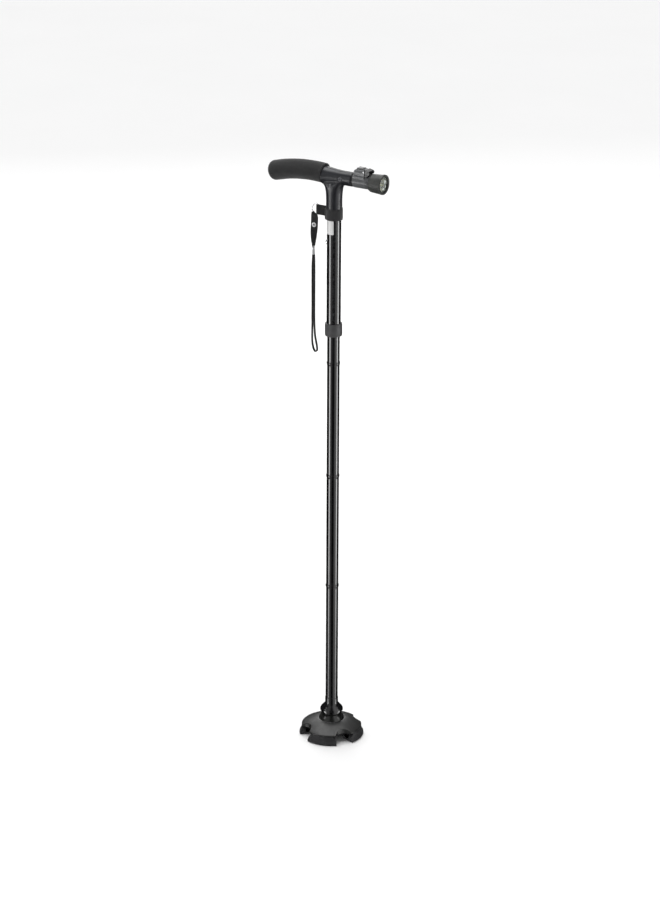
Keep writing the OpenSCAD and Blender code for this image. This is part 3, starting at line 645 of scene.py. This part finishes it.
def makeWebStrap(shape):
    # one strip that goes through the ring and comes back, so two layers hang below it
    columns = 12
    widthX = Vector((1, 0, 0))
    start = math.atan2(-math.sqrt(ringRadius ** 2 - (shape["centre"] - ringCentre.x) ** 2),
                       shape["centre"] - ringCentre.x)
    layers = []
    for side in (-1, 1):
        rows = []
        # around the ring's wire: distance outwards from the wire and sideways
        for out, sideways in ((-1.5, 0.0), (-1.25, 0.85), (-0.5, 1.42), (0.4, 1.5), (1.4, 1.25)):
            row = []
            for c in range(columns + 1):
                u = (c / columns - 0.5) * shape["width"] * 0.86
                turn = start + u / ringRadius
                outwards = Vector((math.cos(turn), 0, math.sin(turn)))
                p = ringCentre + outwards * (ringRadius + out * mm)
                row.append(p + Vector((0, side * sideways * mm, 0)))
            rows.append(row)
        for x, z, share, gap, twist in shape["rows"]:
            a = math.radians(twist)
            wide = Vector((math.cos(a), math.sin(a), 0))
            off = Vector((-math.sin(a), math.cos(a), 0)) * (side * gap * mm / 2)
            centre = Vector((x * mm, 0, socketLow + z * mm))
            rows.append([centre + off + wide * ((c / columns - 0.5) * shape["width"] * share)
                         for c in range(columns + 1)])
        layers.append(rows)
    strip = layers[0][::-1] + layers[1][1:]
    verts = [tuple(p) for row in strip for p in row]
    count = columns + 1
    faces = [(i * count + c, i * count + c + 1, (i + 1) * count + c + 1, (i + 1) * count + c)
             for i in range(len(strip) - 1) for c in range(columns)]
    obj = objectFrom("lanyardWeb", verts, faces)
    mesh = obj.data
    layer = mesh.uv_layers.new(name="weave")
    along = [0.0]
    for a, b in zip(strip, strip[1:]):
        along.append(along[-1] + (b[columns // 2] - a[columns // 2]).length)
    for f, face in enumerate(mesh.polygons):
        i, c = divmod(f, columns)
        spots = [(i, c), (i, c + 1), (i + 1, c + 1), (i + 1, c)]
        for loop, (row, column) in zip(face.loop_indices, spots):
            layer.data[loop].uv = (along[row], column / columns * shape["width"])
    modify(obj, "SUBSURF", levels=1, render_levels=1)
    modify(obj, "SOLIDIFY", thickness=shape["thickness"], offset=0)
    smooth(obj, 50)
    finishPiece(obj, "lanyard", webbing, ["lanyard_web"])
    path = [Vector((shape["centre"], 0, socketLow + 4.2 * mm))]
    path += [Vector((x * mm, 0, socketLow + z * mm)) for x, z, *_ in shape["rows"]]
    return obj, path


lanyardWeb, webPath = makeWebStrap(webStrap)
makeWristLoop(wristLoop)

grommetShape = {"outer": 3.8, "inner": 1.5, "thickness": 0.9, "x": -35.4, "drop": 14.5}


def makeGrommet(shape):
    # a rolled eyelet on each face of the webbing, joined by its barrel
    z = socketLow - shape["drop"] * mm
    middle = (shape["outer"] + shape["inner"]) / 2
    half = 1.25
    profile = []
    for side in (-1, 1):
        for k in range(9):
            a = math.pi * k / 8
            r = middle + (shape["outer"] - middle) * math.cos(a) * (-side)
            y = half + shape["thickness"] * math.sin(a)
            profile.append((r, side * y))
    profile.append(profile[0])
    points = [((shape["x"] + r) * mm, y * mm, z) for r, y in profile]
    obj = lathe("eyelet", points, (shape["x"] * mm, 0, z), (0, 1, 0), 48)
    smooth(obj, 60)
    return finishPiece(obj, "lanyard", grommetWhite, ["grommet"])


sleeveShape = {"radius": 2.5, "wall": 0.35, "pinches": (3.6, 7.2, 10.8), "pinch": 0.14}


def makeSleeve(shape):
    low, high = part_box("crimp_sleeve")
    x = (low.x + high.x) / 2
    height = (high.z - low.z) / mm
    z0 = low.z / mm
    r, wall = shape["radius"], shape["wall"]
    outer = [(r - 0.25, 0), (r, 0.3)]
    for k in range(1, 30):
        t = k / 30 * height
        pinch = sum(math.exp(-((t - p) / 0.7) ** 2) for p in shape["pinches"])
        outer.append((r - shape["pinch"] * pinch, t))
    outer += [(r, height - 0.3), (r - 0.25, height)]
    inner = [(r - wall - 0.25, height), (r - wall - 0.25, 0)]
    profile = outer + inner + [outer[0]]
    points = [(x + p * mm, 0, (z0 + t) * mm) for p, t in profile]
    obj = lathe("crimpSleeve", points, (x, 0, 0), (0, 0, 1), 40)
    moveVertices(obj, lambda v: Vector((x + (v.x - x) * 0.92, v.y * 0.98, v.z)))
    smooth(obj, 50)
    return finishPiece(obj, "lanyard", sleeveMetal, ["crimp_sleeve"])


eyelet = makeGrommet(grommetShape)
crimpSleeve = makeSleeve(sleeveShape)

# elastic cord inside the shaft, one length across each pull joint
shockCord = {"radius": 1.9 * mm, "sides": 16, "rings": 40}


def makeShockCord(shape):
    low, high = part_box("shock_cord")
    joints = [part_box(f"tube_{k}")[1].z for k in (1, 2, 3)]
    ends = [low.z, (joints[0] + joints[1]) / 2, (joints[1] + joints[2]) / 2, high.z]
    for k in range(3):
        rings = []
        for i in range(shape["rings"] + 1):
            z = ends[k] + (ends[k + 1] - ends[k]) * i / shape["rings"]
            rings.append([Vector((math.cos(a) * shape["radius"], math.sin(a) * shape["radius"], z))
                          for a in (2 * math.pi * s / shape["sides"] for s in range(shape["sides"]))])
        obj = bandMesh(f"shockCord{k + 1}", rings)
        smooth(obj, 50)
        obj.data.materials.append(braid)
        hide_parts("shock_cord")
        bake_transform(obj)


makeShockCord(shockCord)

tubeShape = {"edge": 0.25 * mm, "angle": 25}


def makeTubes(shape):
    for node, name, body in (("tube_1", "tubeLow", "lower"), ("tube_2", "tubeMid", "section_2"),
                             ("tube_3", "tubeHigh", "section_3"), ("inner_tube", "innerTube", "inner"),
                             ("upper_tube", "upperTube", "upper")):
        softPiece(node, name, shape["edge"], shape["angle"], 2, body, enamel)


collarShape = {"columns": 168, "rows": 34, "depth": 0.28 * mm, "rim": 1.6 * mm}


def makeCollar(shape):
    low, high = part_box("lock_collar")
    outer = (high.x - low.x) / 2 / mm - shape["depth"] / mm
    bore = min(math.hypot(v.co.x, v.co.y) for v in nodes["lock_collar"].data.vertices) / mm
    z0, z1 = low.z / mm, high.z / mm
    profile = [(bore + 0.4, z0), (outer - 0.7, z0), (outer - 0.2, z0 + 0.2), (outer, z0 + 0.7)]
    for k in range(shape["rows"] + 1):
        profile.append((outer, z0 + 1.2 + (z1 - z0 - 2.4) * k / shape["rows"]))
    profile += [(outer, z1 - 0.7), (outer - 0.2, z1 - 0.2), (outer - 0.7, z1), (11.15, z1), (11.15, z1 - 14),
                (bore + 0.4, z1 - 14.6), (bore + 0.4, z0)]
    obj = upLathe("lockCollar", profile, shape["columns"])

    def knurl(v):
        # diamond knurl that fades out at the two rims
        r = math.hypot(v.x, v.y)
        edge = min(v.z - low.z, high.z - v.z) - shape["rim"]
        if r < (outer - 0.1) * mm or edge < 0:
            return v
        turn = math.atan2(v.y, v.x) * shape["columns"] / 4
        climb = (v.z - low.z) / (2.1 * mm) * math.pi
        height = abs(math.sin((turn + climb) / 2)) * abs(math.sin((turn - climb) / 2))
        grow = 1 + shape["depth"] * height * min(1, edge / (0.4 * mm)) / r
        return Vector((v.x * grow, v.y * grow, v.z))

    moveVertices(obj, knurl)
    smooth(obj, 40)
    finishPiece(obj, "collar", collarPlastic, ["lock_collar"])


labelShape = {"thickness": 0.14 * mm, "corner": 1.2 * mm}


def makeSizeLabel(shape):
    # a film label bent round the tube, with rounded corners
    low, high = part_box("size_label")
    radius = (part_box("upper_tube")[1].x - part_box("upper_tube")[0].x) / 2 + 0.03 * mm
    start, end = math.radians(212), math.radians(298)
    width = (end - start) * radius
    height = high.z - low.z
    clearPick()
    bpy.ops.mesh.primitive_grid_add(x_subdivisions=48, y_subdivisions=24, size=1)
    obj = bpy.context.object
    obj.name = "sizeLabel"
    obj.scale = (width, height, 1)
    applyPlace(obj)

    def roundCorner(v):
        cx, cy = width / 2 - shape["corner"], height / 2 - shape["corner"]
        dx, dy = abs(v.x) - cx, abs(v.y) - cy
        if dx > 0 and dy > 0:
            reach = max(dx, dy)
            length = math.hypot(dx, dy)
            dx, dy = dx * reach / length, dy * reach / length
            return Vector((math.copysign(cx + dx, v.x), math.copysign(cy + dy, v.y), 0))
        return v

    moveVertices(obj, roundCorner)
    middle = (low.z + high.z) / 2

    def wrap(v):
        turn = start + (v.x / width + 0.5) * (end - start)
        return Vector((radius * math.cos(turn), radius * math.sin(turn), middle + v.y))

    moveVertices(obj, wrap)
    modify(obj, "SOLIDIFY", thickness=shape["thickness"], offset=1)
    smooth(obj, 40)
    finishPiece(obj, "upper", labelFilm, ["size_label"])


makeTubes(tubeShape)
makeCollar(collarShape)
makeSizeLabel(labelShape)
softPiece("snap_button", "snapButton", 0.3 * mm, 20, 3, "button", chrome)
print("shaft done")

baseEdges = {"plate": 0.6 * mm, "foot": 0.7 * mm, "bell": 0.4 * mm}


def makeBase(edges):
    softPiece("base_plate", "basePlate", edges["plate"], 30, 3, "base", plateNylon)
    for k in range(1, 5):
        softPiece(f"foot_{k}", f"foot{k}", edges["foot"], 30, 3, "base", footRubber)
    softPiece("pivot_bell", "pivotBell", edges["bell"], 28, 3, "lower", bellGloss)


makeBase(baseEdges)
print("base done")

handleShape = {"voxel": 0.7 * mm, "rounds": 8, "seam": 0.35}


def makeHandleHalf(node, name, shape):
    obj = cadCopy(node, name)
    modify(obj, "REMESH", mode="VOXEL", voxel_size=shape["voxel"])
    group = obj.vertex_groups.new(name="soft")
    for v in obj.data.vertices:
        near = min(1, abs(v.co.y) / (1.2 * mm))
        group.add([v.index], shape["seam"] + (1 - shape["seam"]) * near, "REPLACE")
    modify(obj, "SMOOTH", factor=0.5, iterations=shape["rounds"], vertex_group="soft")
    obj.vertex_groups.clear()
    smooth(obj, 50)
    return finishPiece(obj, "upper", shell, [node])


makeHandleHalf("handle_shell_left", "handleLeft", handleShape)
makeHandleHalf("handle_shell_right", "handleRight", handleShape)

gripShape = {
    "radius": 15.5 * mm,
    "wall": 3.9 * mm,
    "archX": -0.038,
    "archRadius": 0.234,
    "front": -0.017,
    "rear": -0.104,
    "cap": 9 * mm,
    "steps": 88,
}


def makeGrip(shape):
    # a ring of points spun along the arch, then drawn in to a rounded rear end
    archZ = torchAxis + 3.3 * mm - shape["archRadius"]
    turn0 = math.acos((shape["front"] - shape["archX"]) / shape["archRadius"])
    turn1 = math.acos((shape["rear"] - shape["archX"]) / shape["archRadius"])
    centre = Vector((shape["archX"], 0, archZ))
    place = centre + Vector((math.cos(turn0), 0, math.sin(turn0))) * shape["archRadius"]
    clearPick()
    bpy.ops.mesh.primitive_circle_add(vertices=96, radius=shape["radius"], location=place,
                                      rotation=(0, math.pi / 2 - turn0 + math.pi / 2, 0))
    obj = bpy.context.object
    obj.name = "foamGrip"
    applyPlace(obj)
    editAll(obj)
    bpy.ops.mesh.spin(steps=shape["steps"], angle=turn1 - turn0, center=centre, axis=(0, 1, 0))
    leaveEdit()
    return obj, centre, turn0, turn1


print("handle started")
gripData = makeGrip(gripShape)


def finishGrip(shape, made):
    obj, centre, turn0, turn1 = made
    back = Vector((-math.sin(turn1), 0, math.cos(turn1)))
    endPlace = centre + Vector((math.cos(turn1), 0, math.sin(turn1))) * shape["archRadius"]
    corner = 8 * mm
    straight = shape["cap"] - corner
    # the rear end: rings that follow a quarter circle, then close
    rings = [(straight, 1.0)]
    for k in range(1, 10):
        a = math.pi / 2 * k / 9
        rings.append((straight + corner * math.sin(a),
                      (shape["radius"] - corner + corner * math.cos(a)) / shape["radius"]))
    lastShare = 1.0
    lastRun = 0.0
    for run, share in rings:
        bpy.ops.mesh.extrude_region_move(TRANSFORM_OT_translate={"value": back * (run - lastRun)})
        bpy.ops.transform.resize(value=(share / lastShare,) * 3, center_override=endPlace + back * run)
        lastRun, lastShare = run, share
    for share in (0.42, 0.3, 0.18, 0.08):
        bpy.ops.mesh.extrude_region_move(TRANSFORM_OT_translate={"value": back * 0.1 * mm})
        bpy.ops.transform.resize(value=(share / lastShare,) * 3, center_override=endPlace + back * lastRun)
        lastShare = share
    bpy.ops.mesh.merge(type="CENTER")


def pickGripEnd(obj, point, reach):
    # vertices of the open ring nearest the given point
    pick(obj)
    bpy.ops.object.mode_set(mode="EDIT")
    bpy.ops.mesh.select_mode(type="VERT")
    bpy.ops.mesh.select_all(action="DESELECT")
    bpy.ops.mesh.select_non_manifold(extend=False, use_wire=False, use_boundary=True,
                                     use_multi_face=False, use_non_contiguous=False, use_verts=False)
    leaveEdit()
    for v in obj.data.vertices:
        if v.select and (v.co - point).length > reach:
            v.select = False
    for e in obj.data.edges:
        e.select = all(obj.data.vertices[i].select for i in e.vertices)
    bpy.ops.object.mode_set(mode="EDIT")


def closeGrip(shape, made):
    obj, centre, turn0, turn1 = made
    radial1 = Vector((math.cos(turn1), 0, math.sin(turn1)))
    radial0 = Vector((math.cos(turn0), 0, math.sin(turn0)))
    pickGripEnd(obj, centre + radial1 * shape["archRadius"], 2 * shape["radius"])
    finishGrip(shape, made)
    leaveEdit()
    # front end: a rounded lip, then the ring turns in to the bore
    front = centre + radial0 * shape["archRadius"]
    ahead = Vector((math.sin(turn0), 0, -math.cos(turn0)))
    pickGripEnd(obj, front, 2 * shape["radius"])
    last = 1.0
    for share in (0.985, 0.95, 0.86, 0.76):
        bpy.ops.mesh.extrude_region_move(TRANSFORM_OT_translate={"value": (0, 0, 0)})
        bpy.ops.transform.resize(value=(share / last,) * 3, center_override=front)
        last = share
    bpy.ops.mesh.extrude_region_move(TRANSFORM_OT_translate={"value": ahead * -2 * mm})
    bpy.ops.mesh.edge_face_add()
    leaveEdit()
    editAll(obj)
    bpy.ops.mesh.remove_doubles(threshold=0.01 * mm)
    bpy.ops.mesh.normals_make_consistent(inside=False)
    leaveEdit()
    modify(obj, "SUBSURF", levels=1, render_levels=1)

    def press(v):
        # soft lows and highs of a moulded foam sleeve
        low = noise.noise(v * 38) * 0.22 * mm + noise.noise(v * 420) * 0.05 * mm
        mid = centre + (Vector((v.x, 0, v.z)) - centre).normalized() * shape["archRadius"]
        away = v - mid
        if away.length < 12 * mm:
            return v
        return v + away.normalized() * (low - 0.15 * mm)

    moveVertices(obj, press)
    smooth(obj, 60)
    finishPiece(obj, "upper", foam, ["foam_grip"])


closeGrip(gripShape, gripData)
print("grip done")

bandShape = {"thickness": 0.9 * mm, "overlap": 75, "start": 150}


def makeBand(shape):
    # a loop-pile band that laps over itself
    low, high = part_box("strap_band")
    inner = (high.x - low.x) / 2 - 1.0 * mm
    width = high.z - low.z
    middle = (low.z + high.z) / 2
    rings = []
    total = 360 + shape["overlap"]
    for i in range(total // 3 + 1):
        turn = shape["start"] + 3 * i
        lap = max(0, min(1, (3 * i - 330) / 30))
        radius = inner + shape["thickness"] * (0.5 + lap * 1.02)
        a = math.radians(turn)
        outwards = Vector((math.cos(a), math.sin(a), 0))
        rings.append(strapRing(outwards * radius + Vector((0, 0, middle)), Vector((0, 0, 1)), outwards,
                               width, shape["thickness"], 16))
    obj = bandMesh("strapBand", rings)
    smooth(obj, 50)
    finishPiece(obj, "upper", loopPile, ["strap_band"])


tabShape = {"thickness": 1.0 * mm, "stitchRows": (-17.5, -19.5), "stitches": 7}


def makeTab(shape):
    # webbing folded round the ring's bar and sewn to itself
    low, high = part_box("strap_tab")
    bar = ringCentre.x
    z = (low.z + high.z) / 2
    height = high.z - low.z
    wire = 0.85 * mm
    wrap = wire + 0.1 * mm + shape["thickness"] / 2
    root = -12.9 * mm
    flat = shape["thickness"] / 2 + 0.05 * mm
    path = [Vector((root + (bar + 4 * mm - root) * k / 8, -flat, 0)) for k in range(9)]
    path += [Vector((bar + 2.4 * mm, -flat - 0.25 * mm, 0)), Vector((bar + 1.2 * mm, -flat - 0.65 * mm, 0))]
    for k in range(11):
        a = math.radians(-75 - 21 * k)
        path.append(Vector((bar + wrap * math.cos(a), wrap * math.sin(a), 0)))
    path += [Vector((p.x, -p.y, 0)) for p in reversed(path[:11])]
    rings = []
    up = Vector((0, 0, 1))
    for i, p in enumerate(path):
        along = (path[min(i + 1, len(path) - 1)] - path[max(i - 1, 0)]).normalized()
        rings.append(strapRing(p + Vector((0, 0, z)), up, along.cross(up), height, shape["thickness"], 16))
    obj = bandMesh("strapTab", rings)
    smooth(obj, 50)
    finishPiece(obj, "upper", webbing, ["strap_tab"])
    # lock stitches on both faces
    copies = []
    for side in (-1, 1):
        for x in shape["stitchRows"]:
            for k in range(shape["stitches"]):
                clearPick()
                zk = z + (k - (shape["stitches"] - 1) / 2) * height * 0.125
                y = side * (2 * flat - 0.02 * mm)
                bpy.ops.mesh.primitive_uv_sphere_add(segments=10, ring_count=6, radius=0.2 * mm,
                                                     location=(x * mm, y, zk))
                stitch = bpy.context.object
                stitch.scale = (1, 0.8, 3.6)
                applyPlace(stitch)
                copies.append(stitch)
    clearPick()
    for stitch in copies:
        stitch.select_set(True)
    bpy.context.view_layer.objects.active = copies[0]
    bpy.ops.object.join()
    stitches = bpy.context.object
    stitches.name = "tabStitches"
    smooth(stitches, 60)
    finishPiece(stitches, "upper", nylonThread)


makeBand(bandShape)
makeTab(tabShape)
print("strap done")

torchEdges = {"barrel": 0.3 * mm, "housing": 0.8 * mm, "lever": 0.7 * mm}
headShape = {"columns": 144, "rows": 30, "depth": 0.3 * mm}


def makeHead(shape):
    low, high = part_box("head_bezel")
    x0, x1 = low.x / mm, high.x / mm
    rim = (high.z - low.z) / 2 / mm
    bore = rim - 2.4
    outer = [(x0, rim - 2.4), (x0 + 0.3, rim - 1.95), (x0 + 0.7, rim - 1.7)]
    for k in range(shape["rows"] + 1):
        t = k / shape["rows"]
        outer.append((x0 + 1.2 + (x1 - x0 - 4.6) * t, rim - 1.65 + 1.05 * t))
    outer += [(x1 - 3.1, rim - 0.5), (x1 - 2.8, rim - 0.1), (x1 - 2.5, rim), (x1 - 0.7, rim),
              (x1 - 0.2, rim - 0.2), (x1, rim - 0.6), (x1, bore - 0.4), (x1 - 0.25, bore - 0.75),
              (x1 - 1.9, bore - 0.8), (x1 - 1.95, bore + 0.05), (x0 + 5.4, bore + 0.05),
              (x0 + 5.4, rim - 3.4), (x0, rim - 3.4), (x0, rim - 2.4)]
    obj = torchLathe("torchHead", outer, shape["columns"])

    def pebble(v):
        r = math.hypot(v.y, v.z - torchAxis)
        t = (v.x / mm - x0 - 1.2) / (x1 - x0 - 4.6)
        skin = rim - 1.65 + 1.05 * t
        if not 0.02 < t < 0.98 or r < (skin - 0.1) * mm:
            return v
        turn = math.atan2(v.y, v.z - torchAxis) * shape["columns"] / 4
        run = v.x / (1.9 * mm) * math.pi
        height = abs(math.sin((turn + run) / 2)) * abs(math.sin((turn - run) / 2))
        fade = min(1, t * 12, (1 - t) * 12)
        grow = 1 + shape["depth"] * height * fade / r
        return Vector((v.x, v.y * grow, torchAxis + (v.z - torchAxis) * grow))

    moveVertices(obj, pebble)
    smooth(obj, 40)
    finishPiece(obj, "head", headPlastic, ["head_bezel"])


reflectorShape = {"ring": 8.0, "cup": 3.9, "throat": 2.75, "leds": 6}


def makeReflector(shape):
    # a plated dish with one conical cup round each LED
    low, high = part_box("reflector")
    x0, x1 = low.x / mm, high.x / mm
    radius = (high.z - low.z) / 2 / mm
    face = x0 + 4.2
    profile = [(x0, 0), (x0, radius), (x1, radius), (x1, radius - 0.7), (face + 0.6, radius - 1.2),
               (face, radius - 1.8), (face, 0)]
    dish = torchLathe("reflectorDish", profile, 96)
    spots = [(0, 0)] + [(shape["ring"] * math.sin(2 * math.pi * k / shape["leds"]),
                         shape["ring"] * math.cos(2 * math.pi * k / shape["leds"]))
                        for k in range(shape["leds"])]
    cutters = []
    for y, z in spots:
        clearPick()
        depth = 5.2
        bpy.ops.mesh.primitive_cone_add(vertices=40, radius1=shape["throat"] * mm,
                                        radius2=(shape["cup"] + 0.25) * mm, depth=depth * mm,
                                        location=((face - depth / 2 + 0.6) * mm, y * mm, torchAxis + z * mm),
                                        rotation=(0, math.pi / 2, 0))
        cutter = bpy.context.object
        applyPlace(cutter)
        cutters.append(cutter)
    for cutter in cutters:
        modify(dish, "BOOLEAN", operation="DIFFERENCE", object=cutter, solver="EXACT")
        bpy.data.objects.remove(cutter)
    smooth(dish, 35)
    finishPiece(dish, "torch", mirror, ["reflector"])


def makeTorchBody(edges):
    softPiece("torch_barrel", "torchBarrel", edges["barrel"], 28, 3, "torch", gunGrey)
    softPiece("switch_housing", "switchHousing", edges["housing"], 30, 3, "torch", gunGrey)
    softPiece("switch_lever", "switchLever", edges["lever"], 30, 3, "lever", leverBlack)


makeHead(headShape)
makeReflector(reflectorShape)
makeTorchBody(torchEdges)
print("torch done")

# CAD pieces whose shape is right get their finish
kept = {
    "foot_screws": steel, "pivot_liner": nylonWhite, "pivot_buffer": sealRubber,
    "pivot_bolt": steel, "pivot_washer": alloy, "bottom_plug": nylonWhite,
    "spigot_1": alloy, "spigot_2": alloy, "spigot_3": alloy,
    "cord_ferrule_low": alloy, "cord_ferrule_top": alloy, "top_plug": nylonWhite,
    "button_spring": steel, "split_bush": nylonWhite, "handle_screws": blackSteel,
    "handle_pin": steel, "d_ring": chrome, "nose_seal": sealRubber, "battery_cell": cellWrap,
    "cell_spring": brass, "led_board": boardWhite, "leds": ledEpoxy, "lens": lensClear,
    "lens_gasket": sealRubber, "switch_element": leverBlack, "lever_pin": steel,
}
for node, material in kept.items():
    nodes[node].data.materials.clear()
    nodes[node].data.materials.append(material)
print("CAD pieces finished:", len(kept))

studio = {
    "floor": 16.0,
    "floorColour": (0.93, 0.93, 0.93),
    "ambient": 0.3,
    "glossBase": 0.006,
    # turn from the camera's side in degrees, half width, soft edge, strength
    "strips": [(-68, 8, 7, 9.0), (78, 7, 6, 9.0)],
    "glows": [(-44, 10, 22, 0.5), (54, 14, 26, 1.1)],
    # heights between which the strips fade in and out
    "window": ((-0.46, -0.37), (-0.16, -0.26)),
}


def makeFloor(setup):
    clearPick()
    bpy.ops.mesh.primitive_plane_add(size=setup["floor"], location=(0, 0, -0.0002))
    floor = bpy.context.object
    floor.name = "floor"
    material = newMaterial("floorPaper", setup["floorColour"], 0.9)
    mottle(material, (setup["floorColour"], tuple(c - 0.01 for c in setup["floorColour"])), 3)
    floor.data.materials.append(material)
    floor.visible_glossy = False  # black gloss shows the light strips, not the paper


def makeLight(name, kind, place, aim, power, size=(1, 1)):
    clearPick()
    bpy.ops.object.light_add(type=kind, location=place)
    light = bpy.context.object
    light.name = name
    light.data.energy = power
    if kind == "AREA":
        light.data.shape = "RECTANGLE"
        light.data.size, light.data.size_y = size
    else:
        light.data.angle = math.radians(size[0])
    light.rotation_euler = (Vector(aim) - Vector(place)).to_track_quat("-Z", "Y").to_euler()
    return light


def worldNode(tree, kind, operation=None):
    node = tree.nodes.new("ShaderNode" + kind)
    if operation:
        node.operation = operation
    return node


def makeWorld(setup):
    # soft even light, and tall strips that only the gloss shows
    world = bpy.data.worlds.new("studio")
    world.use_nodes = True
    bpy.context.scene.world = world
    tree = world.node_tree
    join = tree.links.new
    background = tree.nodes["Background"]
    place = worldNode(tree, "TexCoord")
    flat = worldNode(tree, "VectorMath", "MULTIPLY")
    flat.inputs[1].default_value = (1, 1, 0)
    join(place.outputs["Generated"], flat.inputs[0])
    unit = worldNode(tree, "VectorMath", "NORMALIZE")
    join(flat.outputs[0], unit.inputs[0])
    facing = math.atan2(cameraSetup["place"][1], cameraSetup["place"][0])

    def addStrips(strips, start):
        total = worldNode(tree, "Value")
        total.outputs[0].default_value = start
        for turn, half, soft, strength in strips:
            a = facing + math.radians(turn)
            dot = worldNode(tree, "VectorMath", "DOT_PRODUCT")
            dot.inputs[1].default_value = (math.cos(a), math.sin(a), 0)
            join(unit.outputs[0], dot.inputs[0])
            glow = worldNode(tree, "MapRange")
            glow.interpolation_type = "SMOOTHSTEP"
            glow.inputs["From Min"].default_value = math.cos(math.radians(half + soft))
            glow.inputs["From Max"].default_value = math.cos(math.radians(max(half - soft, 1)))
            glow.inputs["To Max"].default_value = strength
            join(dot.outputs["Value"], glow.inputs["Value"])
            add = worldNode(tree, "Math", "ADD")
            join(total.outputs[0], add.inputs[0])
            join(glow.outputs[0], add.inputs[1])
            total = add
        return total

    total = addStrips(setup["strips"], 0)
    split = worldNode(tree, "SeparateXYZ")
    join(place.outputs["Generated"], split.inputs[0])
    for low, high in setup["window"]:
        fade = worldNode(tree, "MapRange")
        fade.interpolation_type = "SMOOTHSTEP"
        fade.inputs["From Min"].default_value = low
        fade.inputs["From Max"].default_value = high
        join(split.outputs["Z"], fade.inputs["Value"])
        part = worldNode(tree, "Math", "MULTIPLY")
        join(total.outputs[0], part.inputs[0])
        join(fade.outputs[0], part.inputs[1])
        total = part
    soft = addStrips(setup["glows"], setup["glossBase"])
    both = worldNode(tree, "Math", "ADD")
    join(total.outputs[0], both.inputs[0])
    join(soft.outputs[0], both.inputs[1])
    total = both
    rays = worldNode(tree, "LightPath")
    mix = worldNode(tree, "Mix")
    mix.inputs["A"].default_value = setup["ambient"]
    join(rays.outputs["Is Glossy Ray"], mix.inputs["Factor"])
    join(total.outputs[0], mix.inputs["B"])
    join(mix.outputs[0], background.inputs["Strength"])
    background.inputs["Color"].default_value = (1, 1, 1, 1)


makeFloor(studio)
makeWorld(studio)
makeLight("top", "SUN", (-0.6, 0.4, 3), (0, 0, 0), 2.3, (50,))
makeLight("back", "AREA", (-1.7, 2.1, 1.8), (0, 0, 0.6), 26, (2.2, 1.2))
makeLight("key", "AREA", (-2.4, -2.6, 2.2), (0, 0, 0.5), 12, (1.0, 1.4))
makeLight("fill", "AREA", (3.2, 0.9, 1.8), (0, 0, 0.5), 6, (0.9, 1.4))
bpy.context.scene.view_settings.view_transform = "Standard"
print("studio done")
